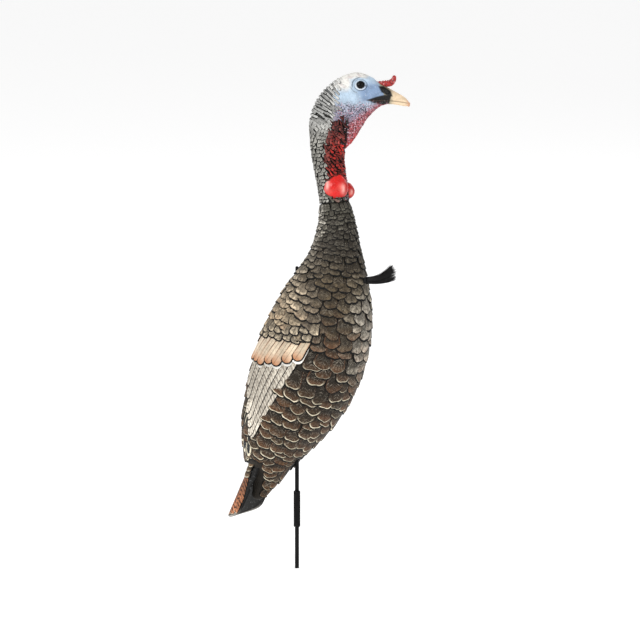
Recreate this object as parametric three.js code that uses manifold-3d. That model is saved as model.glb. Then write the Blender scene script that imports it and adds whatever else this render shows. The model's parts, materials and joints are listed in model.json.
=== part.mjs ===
// An upright young-gobbler decoy on a two-piece ground stake.
// Millimetres, +Z up, the bird faces +X and its left side is +Y.
// The origin is on the stake's axis, at the level of the soil.

import * as THREE from "three";
import { ParametricGeometry } from "three/addons/geometries/ParametricGeometry.js";
import { mergeVertices } from "three/addons/utils/BufferGeometryUtils.js";
import Module from "manifold-3d";

// ---------------------------------------------------------------- dimensions

const GAP = 0.3; // left between pieces that touch
const WALL = 3; // thickness of the moulded skins

const ROD_R = 3.175; // quarter-inch stake rod
const PIN_R = 2.4; // the turned-down top of the upper rod
const STAKE_TIP_Z = -180; // point of the lower rod, in the soil
const POINT_LENGTH = 26;
const COUPLER = { r: 5.2, bottom: 65, top: 121, chamfer: 0.8 };
const ROD_MEETING_Z = 93; // where the two rods meet inside the coupler
const ROLL_PIN = { r: 1, z: 77 };
const SHOULDER_Z = 438; // the upper rod's shoulder, which carries the decoy
const PIN_TOP_Z = 472; // it stands out of the bird's back
const WASHER = { r: 3.9, bore: 2.7, thick: 1.6 };
const TUBE = { r: 7, bore: 4.2, bottom: 140, top: 480 };
const BUSHING_HEIGHT = 9;
const GROMMET_R = 10.5;

const NECK_LEAN = THREE.MathUtils.degToRad(8); // the neck leans back as it rises
const HEAD_TURN = THREE.MathUtils.degToRad(27); // the head looks to the bird's left
const SEAM = new THREE.Vector3(64.5, 0, 576); // centre of the joint between neck and head
const NECK_AXIS = new THREE.Vector3(-Math.sin(NECK_LEAN), 0, Math.cos(NECK_LEAN));
const SOCKET = { r: 16, bore: 12, depth: 40, floor: 2.5 };
const PEG = { r: 11.7, reach: 37.2, chamfer: 2 };

const BEARD_ROOT = new THREE.Vector3(116.5, 0, 457);
const BEARD_RISE = THREE.MathUtils.degToRad(6);
const FERRULE = { r: 4.6, inside: 13, outside: 5 };
const BEARD_GROMMET = { r: 7.5, inside: 9 };

const TAIL_ROOT = new THREE.Vector3(-58, 0, 188);
const TAIL_TIP = new THREE.Vector3(-113.5, 0, 73.5);
const TAIL_HALF_WIDTH = 38;
const TAIL_CURL = { reach: 20, sharpness: 2.6 }; // how far the side edges fold forward
const TAIL_WIDTH = { root: 0.9, full: 0.6 }; // its share at the root, and where it is full
const TAIL_ROUND = 0.85; // the round end's length, as a share of half the width
const TAIL_THICKNESS = { root: 11, tip: 3.5 };

const EYE = { x: 102.5, z: 758, y: 12.4, r: 6.6, flat: 0.8 };

// The body's sections, from the neck down to the undertail: the outline's
// back and front points, and half the width across.
const BODY_SECTIONS = [
  { back: [42.2, 572.9], front: [86.8, 579.1], half: 21 },
  { back: [41, 545], front: [98, 546], half: 24 },
  { back: [33, 515], front: [105.5, 509], half: 30 },
  { back: [20, 486], front: [113, 477], half: 39 },
  { back: [-3, 458], front: [118.5, 445], half: 51 },
  { back: [-20, 431], front: [122.5, 405], half: 63 },
  { back: [-39, 398], front: [119.5, 358], half: 73 },
  { back: [-56, 360], front: [108, 315], half: 79 },
  { back: [-69, 317], front: [90, 274], half: 81 },
  { back: [-79.5, 272], front: [64, 232], half: 77 },
  { back: [-85.5, 228], front: [29.5, 196], half: 67 },
  { back: [-86.5, 192], front: [-5, 163], half: 49 },
  { back: [-84, 163], front: [-32, 134], half: 28 },
  { back: [-78, 138], front: [-53, 110], half: 13 },
];

// The head and upper neck, from the seam to the bill, looking along +X before
// the turn: the outline's nape and throat points, half the width, and how much
// narrower the section is at the throat.
const HEAD_SECTIONS = [
  { nape: [42.2, 572.9], throat: [86.8, 579.1], half: 21, taper: 0 },
  { nape: [39, 596], throat: [84.5, 602], half: 20, taper: 0 },
  { nape: [31.3, 633], throat: [78.5, 634], half: 19, taper: 0.1 },
  { nape: [26, 667], throat: [79, 656], half: 19, taper: 0.2 },
  { nape: [24.5, 699], throat: [91.5, 667.8], half: 19, taper: 0.4 },
  { nape: [31, 725.5], throat: [103.6, 683.8], half: 19, taper: 0.55 },
  { nape: [46, 748.7], throat: [112.4, 698.6], half: 19.5, taper: 0.6 },
  { nape: [68, 767.4], throat: [121.4, 711.2], half: 20, taper: 0.6 },
  { nape: [94, 777.5], throat: [130, 721.6], half: 19, taper: 0.5 },
  { nape: [117, 771.5], throat: [138, 727], half: 15.5, taper: 0.4 },
  { nape: [132, 761.5], throat: [147, 728.5], half: 11, taper: 0.25 },
  { nape: [148, 752], throat: [157, 728], half: 8.5, taper: 0.2 },
  { nape: [162, 744.5], throat: [166, 726.5], half: 6.2, taper: 0.1 },
  { nape: [172.5, 738], throat: [173.5, 725.5], half: 3.8, taper: 0 },
  { nape: [178.5, 729.8], throat: [178.4, 727.2], half: 1.2, taper: 0 },
];

// The two red lobes at the base of the throat: centre and half sizes.
const LOBES = [
  { at: [68, -13, 600.5], size: [17, 13, 19.5] },
  { at: [84.5, 6, 593.5], size: [11.5, 11, 13] },
];

// The snood's centreline lies along the top of the bill and turns up at its tip.
const SNOOD_PATH = [
  [129, 760],
  [140, 759.8],
  [148.5, 761.2],
  [153, 766],
  [155, 772.5],
];
const SNOOD_RADII = [3.2, 4.7, 4.9, 3.9, 2.2];

// ------------------------------------------------------------------ materials

const paint = (color, roughness, metalness = 0) =>
  new THREE.MeshStandardMaterial({ color, roughness, metalness });

const MATERIALS = {
  plumage: paint(0x6b5d4a, 0.7),
  tail: paint(0x3a3836, 0.6),
  skin: paint(0x9c6f78, 0.6),
  snood: paint(0xb0302c, 0.45),
  eye: paint(0x14100c, 0.1),
  bristle: paint(0x0d0d0e, 0.6),
  steel: paint(0x111112, 0.45, 0.6),
  coupler: paint(0x161617, 0.55),
  rubber: paint(0x1c1b1a, 0.85),
  nylon: paint(0xd8d4c8, 0.5),
  plastic: paint(0x2b2b2c, 0.6),
};

// -------------------------------------------------------------- solid helpers

const wasm = await Module();
wasm.setup();

/** A closed geometry as a manifold-3d solid, facing out whichever way it was wound. */
function solidOf(geometry) {
  const bare = new THREE.BufferGeometry();
  bare.setAttribute("position", geometry.getAttribute("position"));
  bare.setIndex(geometry.index);
  const merged = mergeVertices(bare, 1e-3);
  const at = merged.getAttribute("position");
  const corners = [0, 1, 2].map(() => new THREE.Vector3());
  const kept = [];
  let volume = 0;
  for (let i = 0; i < merged.index.count; i += 3) {
    const t = [0, 1, 2].map((k) => merged.index.getX(i + k));
    if (t[0] === t[1] || t[1] === t[2] || t[2] === t[0]) continue;
    t.forEach((v, k) => corners[k].fromBufferAttribute(at, v));
    volume += corners[0].dot(corners[1].clone().cross(corners[2]));
    kept.push(t);
  }
  if (volume < 0) kept.forEach((t) => t.reverse());
  return new wasm.Manifold(
    new wasm.Mesh({
      numProp: 3,
      vertProperties: new Float32Array(at.array),
      triVerts: new Uint32Array(kept.flat()),
    }),
  );
}

/** A solid as a geometry with flat-shaded normals. */
function geometryOf(solid) {
  const mesh = solid.getMesh();
  const geometry = new THREE.BufferGeometry();
  geometry.setAttribute("position", new THREE.BufferAttribute(mesh.vertProperties, 3));
  geometry.setIndex(new THREE.BufferAttribute(mesh.triVerts, 1));
  geometry.computeVertexNormals();
  return geometry;
}

/** The largest of the bodies that a cut leaves. */
function largest(solid) {
  return solid.decompose().sort((a, b) => b.volume() - a.volume())[0];
}

/** A round solid turned from a profile of [radius, height] points, standing on +Z. */
function turned(profile, segments = 24) {
  const points = profile.map(([r, z]) => new THREE.Vector2(r, z));
  return solidOf(new THREE.LatheGeometry(points, segments).rotateX(Math.PI / 2));
}

/** A profile turned about the line from a point along a direction. */
function turnedAlong(from, direction, profile, segments = 24) {
  const points = profile.map(([r, z]) => new THREE.Vector2(r, z));
  const geometry = new THREE.LatheGeometry(points, segments);
  const up = new THREE.Vector3(0, 1, 0);
  const turn = new THREE.Quaternion().setFromUnitVectors(up, direction.clone().normalize());
  return solidOf(geometry.applyQuaternion(turn).translate(from.x, from.y, from.z));
}

/** A rod's profile between two heights. */
const rodProfile = (r, low, high) => [
  [0, low],
  [r, low],
  [r, high],
  [0, high],
];

/** A tube's profile, closed on itself. */
const ringProfile = (r, bore, low, high) => [
  [bore, low],
  [r, low],
  [r, high],
  [bore, high],
  [bore, low],
];

/** A closed loft through rings. point(t, angle) gives a ring's points, and the ends are flat. */
function loft(point, rings, segments) {
  const stacks = rings + 2;
  const centre = (t) =>
    point(t, 0)
      .clone()
      .add(point(t, Math.PI))
      .multiplyScalar(0.5);
  const surface = (u, v, target) => {
    const row = Math.round(v * stacks);
    const t = THREE.MathUtils.clamp((row - 1) / rings, 0, 1);
    const end = row === 0 || row === stacks;
    target.copy(end ? centre(t) : point(t, u * 2 * Math.PI));
  };
  return solidOf(new ParametricGeometry(surface, segments, stacks));
}

/** A smooth curve through points in the XZ plane, at y = 0. */
const outline = (points) =>
  new THREE.CatmullRomCurve3(points.map(([x, z]) => new THREE.Vector3(x, 0, z)));

/** A smooth curve through single values, read from its x. */
const profileOf = (values) =>
  new THREE.CatmullRomCurve3(values.map((value, i) => new THREE.Vector3(value, i * 30, 0)));

/** Ring points between a back and a front outline, drawn in by inset. */
function sectionPoints(back, front, half, taper, inset = 0) {
  return (t, angle) => {
    const from = back.getPoint(t);
    const to = front.getPoint(t);
    const middle = from.clone().add(to).multiplyScalar(0.5);
    const reach = to.clone().sub(from).multiplyScalar(0.5);
    reach.setLength(Math.max(reach.length() - inset, 0.2));
    const across = Math.max(half.getPoint(t).x - inset, 0.2);
    const forward = Math.cos(angle);
    const narrow = 1 - taper.getPoint(t).x * Math.max(0, (forward + 1) / 2);
    const point = middle.addScaledVector(reach, forward);
    point.y = across * narrow * Math.sin(angle);
    return point;
  };
}

// ------------------------------------------------------------------ the stake

function lowerRod() {
  const rod = turned([
    [0, STAKE_TIP_Z],
    [ROD_R, STAKE_TIP_Z + POINT_LENGTH],
    [ROD_R, ROD_MEETING_Z - GAP],
    [0, ROD_MEETING_Z - GAP],
  ]);
  return rod.subtract(rollPin(ROLL_PIN.r + GAP, COUPLER.r + 1));
}

function upperRod() {
  return turned([
    [0, ROD_MEETING_Z],
    [ROD_R, ROD_MEETING_Z],
    [ROD_R, SHOULDER_Z],
    [PIN_R, SHOULDER_Z],
    [PIN_R, PIN_TOP_Z - 1],
    [PIN_R - 1, PIN_TOP_Z],
    [0, PIN_TOP_Z],
  ]);
}

function coupler() {
  const { r, bottom, top, chamfer } = COUPLER;
  const bore = ROD_R + GAP;
  const sleeve = turned(
    [
      [bore, bottom],
      [r - chamfer, bottom],
      [r, bottom + chamfer],
      [r, top - chamfer],
      [r - chamfer, top],
      [bore, top],
      [bore, bottom],
    ],
    32,
  );
  return sleeve.subtract(rollPin(ROLL_PIN.r + GAP, r + 1));
}

/** The pin across the coupler that keeps it on the lower rod. */
function rollPin(r = ROLL_PIN.r, half = COUPLER.r - 0.2) {
  const from = new THREE.Vector3(0, -half, ROLL_PIN.z);
  return turnedAlong(from, new THREE.Vector3(0, 1, 0), rodProfile(r, 0, 2 * half), 12);
}

function thrustWasher() {
  const low = SHOULDER_Z + GAP;
  return turned(ringProfile(WASHER.r, WASHER.bore, low, low + WASHER.thick));
}

// ------------------------------------------------------------------- the body

const bodyCurves = [
  outline(BODY_SECTIONS.map((s) => s.back)),
  outline(BODY_SECTIONS.map((s) => s.front)),
  profileOf(BODY_SECTIONS.map((s) => s.half)),
  profileOf(BODY_SECTIONS.map(() => 0)),
];
const BODY_RINGS = 24;
const BODY_SEGMENTS = 32;
const CAVITY_RINGS = 12;
const CAVITY_SEGMENTS = 20;
const CAVITY = { from: 0.07, to: 0.84 }; // the hollow's share of the body's length

const bodyOutside = loft(sectionPoints(...bodyCurves), BODY_RINGS, BODY_SEGMENTS);

/** The hollow inside the body, which stops short of the neck's lip and the undertail. */
function bodyCavity() {
  const inner = sectionPoints(...bodyCurves, WALL);
  const point = (t, angle) => inner(THREE.MathUtils.lerp(CAVITY.from, CAVITY.to, t), angle);
  return loft(point, CAVITY_RINGS, CAVITY_SEGMENTS);
}

/** The folded tail: a tongue in the body that widens to a blade with a round end. */
function tailBlade(grow = 0) {
  const along = TAIL_TIP.clone().sub(TAIL_ROOT);
  const length = along.length();
  along.normalize();
  const normal = new THREE.Vector3(-along.z, 0, along.x); // towards the bird's front
  const roundFrom = length - TAIL_HALF_WIDTH * TAIL_ROUND;
  const point = (t, angle) => {
    const at = length * t;
    const past = Math.max(0, (at - roundFrom) / (length - roundFrom));
    const widening = THREE.MathUtils.lerp(TAIL_WIDTH.root, 1, Math.min(1, t / TAIL_WIDTH.full));
    const round = Math.sqrt(Math.max(0, 1 - past * past * 0.985));
    const half = TAIL_HALF_WIDTH * widening * round + grow;
    const { root, tip } = TAIL_THICKNESS;
    const thick = THREE.MathUtils.lerp(root, tip, t) / 2 + grow;
    const c = Math.cos(angle);
    const s = Math.sin(angle);
    const p = TAIL_ROOT.clone().addScaledVector(along, at + (t === 0 ? -grow : 0));
    p.y = half * Math.sign(s) * Math.pow(Math.abs(s), 0.6);
    const fold = Math.abs(p.y / TAIL_HALF_WIDTH) ** TAIL_CURL.sharpness;
    p.addScaledVector(normal, thick * Math.sign(c) * Math.pow(Math.abs(c), 0.7));
    p.addScaledVector(normal, TAIL_CURL.reach * fold);
    return p;
  };
  return loft(point, 12, 24);
}

const verticalRing = (r, bore, low, high) => turned(ringProfile(r, bore, low, high), 32);
const verticalRod = (r, low, high) => turned(rodProfile(r, low, high), 32);

const BELLY_Z = { low: 140, high: 190 };
const BACK_Z = { low: 445, high: 490 };

const grommetSleeve = ({ low, high }) =>
  verticalRing(GROMMET_R, TUBE.r + GAP, low, high).intersect(grommetBand(low, high));

/** A slice of the body's outer skin, so that a grommet lies flush with it. */
function grommetBand(low, high) {
  const skin = bodyOutside.subtract(bodyOutside.translate([0, 0, low < 300 ? 9 : -9]));
  return largest(skin.intersect(verticalRod(GROMMET_R + 1, low, high)));
}

function guideTube() {
  return largest(verticalRing(TUBE.r, TUBE.bore, TUBE.bottom, TUBE.top).intersect(bodyOutside));
}

function pivotBushing() {
  const low = SHOULDER_Z + WASHER.thick + 2 * GAP;
  return turned(ringProfile(TUBE.bore - GAP, PIN_R + 0.4, low, low + BUSHING_HEIGHT));
}

const beardDirection = new THREE.Vector3(Math.cos(BEARD_RISE), 0, Math.sin(BEARD_RISE));

const beardHole = (r, inside) =>
  turnedAlong(BEARD_ROOT, beardDirection, rodProfile(r, -inside, 30), 20);

function beardGrommet() {
  const ring = turnedAlong(
    BEARD_ROOT,
    beardDirection,
    ringProfile(BEARD_GROMMET.r, FERRULE.r + GAP, -BEARD_GROMMET.inside, 20),
    20,
  );
  return largest(ring.intersect(bodyOutside));
}

const down = NECK_AXIS.clone().negate();

/** The cup in the neck that the peg turns in. */
function neckSocket() {
  const { r, bore, depth, floor } = SOCKET;
  return turnedAlong(
    SEAM,
    down,
    [
      [0, depth],
      [0, depth - floor],
      [bore, depth - floor],
      [bore, GAP],
      [r, GAP],
      [r, depth],
      [0, depth],
    ],
    28,
  );
}

function bodyShell() {
  let shell = bodyOutside.subtract(bodyCavity());
  const neckBore = rodProfile(SOCKET.r + GAP, -5, SOCKET.depth + 5);
  shell = shell.subtract(turnedAlong(SEAM, down, neckBore, 28));
  shell = shell.subtract(verticalRod(GROMMET_R + GAP, BELLY_Z.low, BELLY_Z.high));
  shell = shell.subtract(verticalRod(GROMMET_R + GAP, BACK_Z.low, BACK_Z.high));
  shell = shell.subtract(beardHole(BEARD_GROMMET.r + GAP, BEARD_GROMMET.inside + 6));
  shell = shell.subtract(tailBlade(2 * GAP));
  return largest(shell);
}

// ------------------------------------------------------------------- the head

const headCurves = [
  outline(HEAD_SECTIONS.map((s) => s.nape)),
  outline(HEAD_SECTIONS.map((s) => s.throat)),
  profileOf(HEAD_SECTIONS.map((s) => s.half)),
  profileOf(HEAD_SECTIONS.map((s) => s.taper)),
];
const HEAD_RINGS = 28;
const HEAD_SEGMENTS = 24;
const HEAD_CAVITY = { from: 0.05, to: 0.62, rings: 10, segments: 16 };

const headPoints = (inset = 0) => sectionPoints(...headCurves, inset);

const ellipsoid = ({ at, size }) =>
  solidOf(new THREE.SphereGeometry(1, 18, 12).scale(...size).translate(...at));

/** The snood as a tapering finger. */
function snood(grow = 0) {
  const path = outline(SNOOD_PATH);
  const radii = profileOf(SNOOD_RADII);
  const point = (t, angle) => {
    const forward = path.getTangent(t);
    const side = new THREE.Vector3(-forward.z, 0, forward.x);
    const r = radii.getPoint(t).x + grow;
    const p = path.getPoint(t).addScaledVector(side, r * Math.cos(angle));
    p.y = r * Math.sin(angle);
    return p;
  };
  return loft(point, 12, 12);
}

const eyeball = (side, grow = 0) =>
  solidOf(
    new THREE.SphereGeometry(EYE.r + grow, 16, 12)
      .scale(1, EYE.flat, 1)
      .translate(EYE.x, side * EYE.y, EYE.z),
  );

function headSocket() {
  const { r, bore, depth, floor } = SOCKET;
  return turnedAlong(
    SEAM,
    NECK_AXIS,
    [
      [0, depth],
      [0, depth - floor],
      [bore, depth - floor],
      [bore, 2 * GAP],
      [r, 2 * GAP],
      [r, depth],
      [0, depth],
    ],
    28,
  );
}

function headShell() {
  let outside = loft(headPoints(), HEAD_RINGS, HEAD_SEGMENTS);
  LOBES.forEach((lobe) => (outside = outside.add(ellipsoid(lobe))));
  const inner = headPoints(WALL);
  const along = (t) => THREE.MathUtils.lerp(HEAD_CAVITY.from, HEAD_CAVITY.to, t);
  const hollow = (t, angle) => inner(along(t), angle);
  let shell = outside.subtract(loft(hollow, HEAD_CAVITY.rings, HEAD_CAVITY.segments));
  // The lip at the seam is faced flat, and bored for the socket.
  const below = turnedAlong(SEAM, NECK_AXIS, rodProfile(60, -60, GAP), 16);
  const bore = turnedAlong(SEAM, NECK_AXIS, rodProfile(SOCKET.r + GAP, -5, SOCKET.depth + 5), 28);
  shell = shell.subtract(below).subtract(bore).subtract(snood(GAP));
  [-1, 1].forEach((side) => (shell = shell.subtract(eyeball(side, GAP))));
  return largest(shell);
}

/** The loose peg that joins head and neck. */
function neckPeg() {
  const { r, reach, chamfer } = PEG;
  return turnedAlong(
    SEAM,
    NECK_AXIS,
    [
      [0, -reach],
      [r - chamfer, -reach],
      [r, chamfer - reach],
      [r, reach - chamfer],
      [r - chamfer, reach],
      [0, reach],
    ],
    28,
  );
}

// ------------------------------------------------------------------ the beard

const BEARD_TUFT = [
  { at: [5.3, 0.6], half: 4.6, thick: 4 },
  { at: [22, 2.8], half: 6, thick: 4.4 },
  { at: [38, 9.2], half: 7.8, thick: 4.6 },
  { at: [52, 18], half: 9.6, thick: 4.6 },
];

/** The outer shape of the tuft of bristles. */
function beardTuft() {
  const path = outline(BEARD_TUFT.map(({ at }) => [BEARD_ROOT.x + at[0], BEARD_ROOT.z + at[1]]));
  const half = profileOf(BEARD_TUFT.map((s) => s.half));
  const thick = profileOf(BEARD_TUFT.map((s) => s.thick));
  const point = (t, angle) => {
    const forward = path.getTangent(t);
    const side = new THREE.Vector3(-forward.z, 0, forward.x);
    const p = path.getPoint(t).addScaledVector(side, half.getPoint(t).x * Math.cos(angle));
    p.y = thick.getPoint(t).x * Math.sin(angle);
    return p;
  };
  return loft(point, 8, 16);
}

function ferrule() {
  const { r, inside, outside } = FERRULE;
  return turnedAlong(BEARD_ROOT, beardDirection, rodProfile(r, -inside, outside), 20);
}

// -------------------------------------------------------------- the assembly

const decoy = new THREE.Group();

function place(parent, name, solid, material) {
  const mesh = new THREE.Mesh(geometryOf(solid), material);
  mesh.name = name;
  parent.add(mesh);
}

place(decoy, "stake_lower_rod", lowerRod(), MATERIALS.steel);
place(decoy, "stake_coupler", coupler(), MATERIALS.coupler);
place(decoy, "coupler_roll_pin", rollPin(), MATERIALS.steel);
place(decoy, "stake_upper_rod", upperRod(), MATERIALS.steel);
place(decoy, "thrust_washer", thrustWasher(), MATERIALS.nylon);

place(decoy, "body_shell", bodyShell(), MATERIALS.plumage);
place(decoy, "tail_fan", tailBlade(), MATERIALS.tail);
place(decoy, "stake_guide_tube", guideTube(), MATERIALS.plastic);
place(decoy, "pivot_bushing", pivotBushing(), MATERIALS.nylon);
place(decoy, "belly_grommet", grommetSleeve(BELLY_Z), MATERIALS.rubber);
place(decoy, "back_grommet", grommetSleeve(BACK_Z), MATERIALS.rubber);
place(decoy, "neck_socket", neckSocket(), MATERIALS.plastic);
place(decoy, "beard_grommet", beardGrommet(), MATERIALS.rubber);

place(decoy, "neck_peg", neckPeg(), MATERIALS.nylon);

place(decoy, "beard_ferrule", ferrule(), MATERIALS.plastic);
place(decoy, "beard_bristles", beardTuft(), MATERIALS.bristle);

// The head's pieces turn together about the neck's axis.
const headTurn = new THREE.Group();
headTurn.position.copy(SEAM);
headTurn.quaternion.setFromAxisAngle(NECK_AXIS, HEAD_TURN);
const head = new THREE.Group();
head.position.copy(SEAM).negate();
headTurn.add(head);
decoy.add(headTurn);

place(head, "head_shell", headShell(), MATERIALS.skin);
place(head, "head_socket", headSocket(), MATERIALS.plastic);
place(head, "snood", snood(), MATERIALS.snood);
place(head, "eye_right", eyeball(-1), MATERIALS.eye);
place(head, "eye_left", eyeball(1), MATERIALS.eye);

export default decoy;
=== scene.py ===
"""An upright young-gobbler decoy on its ground stake.

Everything is in metres, in the CAD model's frame: +Z up along the stake, +X where the breast
faces, +Y to the bird's left. The soil is at z = 0.

The bird's skins are measured from the CAD shells as rings square to a spine, and the feathers,
one closed scale each, are laid on them. A place on a skin is (s, a): s is the distance down the
spine, and a is the angle round it, 0 at the breast or throat and positive to the bird's left.
"""

import json
import math

import bmesh
import bpy
import numpy as np
from mathutils import Matrix, Vector
from mathutils.bvhtree import BVHTree


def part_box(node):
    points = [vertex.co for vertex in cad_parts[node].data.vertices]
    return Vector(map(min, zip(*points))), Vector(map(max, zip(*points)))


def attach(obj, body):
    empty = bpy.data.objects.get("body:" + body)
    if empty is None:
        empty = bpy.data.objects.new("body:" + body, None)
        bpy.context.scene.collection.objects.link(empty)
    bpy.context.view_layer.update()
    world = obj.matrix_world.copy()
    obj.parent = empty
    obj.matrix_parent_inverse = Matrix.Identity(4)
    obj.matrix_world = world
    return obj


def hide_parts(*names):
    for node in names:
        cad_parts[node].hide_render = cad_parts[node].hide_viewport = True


MM = 0.001
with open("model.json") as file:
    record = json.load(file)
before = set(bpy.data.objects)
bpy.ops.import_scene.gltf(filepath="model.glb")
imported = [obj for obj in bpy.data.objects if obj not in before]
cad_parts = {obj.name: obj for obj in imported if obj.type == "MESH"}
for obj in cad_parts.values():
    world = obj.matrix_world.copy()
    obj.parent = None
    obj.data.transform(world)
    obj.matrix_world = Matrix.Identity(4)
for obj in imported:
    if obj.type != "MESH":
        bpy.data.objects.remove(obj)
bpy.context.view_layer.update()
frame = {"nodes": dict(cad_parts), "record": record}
NODES = frame["nodes"]
JOINTS = {joint["name"]: joint for joint in frame["record"]["behaviour"]["joints"]}
rng = np.random.default_rng(11)
# Points of a piece closer than this, in metres, are one point.
WELD = 1e-6


# ------------------------------------------------------------------ the camera

VIEW_AZIMUTH = math.radians(27)
VIEW_ELEVATION = math.radians(8)
VIEW_DISTANCE = 20.0
VIEW_WIDTH = 0.992  # what the picture spans at the stake
AIM_ASIDE = 0.0357  # the picture's middle, to the right of the stake and above the soil
AIM_ABOVE = 0.3844


def make_camera():
    az, el = VIEW_AZIMUTH, VIEW_ELEVATION
    back = Vector((math.sin(az) * math.cos(el), -math.cos(az) * math.cos(el), math.sin(el)))
    right = Vector((math.cos(az), math.sin(az), 0))
    up = back.cross(right)
    camera = bpy.data.objects.new("camera", bpy.data.cameras.new("camera"))
    bpy.context.collection.objects.link(camera)
    camera.location = right * AIM_ASIDE + up * AIM_ABOVE + back * VIEW_DISTANCE
    camera.rotation_mode = "QUATERNION"
    camera.rotation_quaternion = (-back).to_track_quat("-Z", "Y")
    camera.data.sensor_width = 36
    camera.data.lens = camera.data.sensor_width * VIEW_DISTANCE / VIEW_WIDTH
    camera.data.clip_end = 200
    bpy.context.scene.camera = camera


make_camera()
bpy.context.scene.view_settings.view_transform = "Standard"


# ------------------------------------------------------------------- materials


def linear(r, g, b):
    """A colour given as 0 to 255 screen values, as a shader's linear values."""
    c = np.array([r, g, b]) / 255
    return np.where(c <= 0.04045, c / 12.92, ((c + 0.055) / 1.055) ** 2.4)


class Paint:
    """A material in the making: a Principled shader, and short names for the nodes that feed it."""

    def __init__(self, name, colour=(128, 128, 128), roughness=0.6, **sockets):
        self.material = bpy.data.materials.new(name)
        self.material.use_nodes = True
        self.tree = self.material.node_tree
        self.shader = self.tree.nodes["Principled BSDF"]
        self.shader.inputs["Specular IOR Level"].default_value = 0.25
        self.shader.inputs["Base Color"].default_value = (*linear(*colour), 1)
        self.shader.inputs["Roughness"].default_value = roughness
        for key, value in sockets.items():
            self.shader.inputs[key.replace("_", " ")].default_value = value

    def node(self, kind, inputs, output=0, **settings):
        made = self.tree.nodes.new(kind)
        for key, value in settings.items():
            setattr(made, key, value)
        for key, value in inputs.items():
            self.feed(made.inputs[key], value)
        return made.outputs[output]

    def feed(self, socket, value):
        if isinstance(value, bpy.types.NodeSocket):
            self.tree.links.new(value, socket)
        elif socket.type == "RGBA" and len(value) == 3:
            socket.default_value = (*value, 1)
        else:
            socket.default_value = value

    def to(self, socket, value):
        self.feed(self.shader.inputs[socket], value)

    def math(self, operation, a, b=0.0):
        return self.node("ShaderNodeMath", {0: a, 1: b}, operation=operation)

    def coat(self, factor, colour):
        """One more colour over those so far."""
        self.colour = self.mix(factor, self.colour, colour)

    def times(self, a, b):
        return self.math("MULTIPLY", a, b)

    def plus(self, a, b):
        return self.math("ADD", a, b)

    def minus(self, a, b):
        return self.math("SUBTRACT", a, b)

    def step(self, x, low, high):
        """0 below low, 1 above high, and smooth between."""
        inputs = {"Value": x, "From Min": low, "From Max": high}
        return self.node("ShaderNodeMapRange", inputs, interpolation_type="SMOOTHSTEP")

    def mix(self, factor, a, b):
        return self.node("ShaderNodeMix", {0: factor, 6: a, 7: b}, 2, data_type="RGBA")

    def noise(self, vector, scale, detail=3.0, roughness=0.55):
        inputs = {"Vector": vector, "Scale": scale, "Detail": detail, "Roughness": roughness}
        return self.node("ShaderNodeTexNoise", inputs)

    def cells(self, vector, scale, output="Distance"):
        return self.node("ShaderNodeTexVoronoi", {"Vector": vector, "Scale": scale}, output)

    def place(self):
        return self.node("ShaderNodeTexCoord", {}, "Object")

    def attribute(self, name):
        return self.node("ShaderNodeAttribute", {}, "Color", attribute_name=name)

    def split(self, colour):
        made = self.tree.nodes.new("ShaderNodeSeparateColor")
        self.tree.links.new(colour, made.inputs[0])
        return made.outputs[0], made.outputs[1], made.outputs[2]

    def join(self, x, y, z):
        return self.node("ShaderNodeCombineXYZ", {0: x, 1: y, 2: z})

    def bump(self, height, distance, normal=None):
        inputs = {"Height": height, "Distance": distance, "Strength": 1.0}
        if normal is not None:
            inputs["Normal"] = normal
        return self.node("ShaderNodeBump", inputs)


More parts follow.
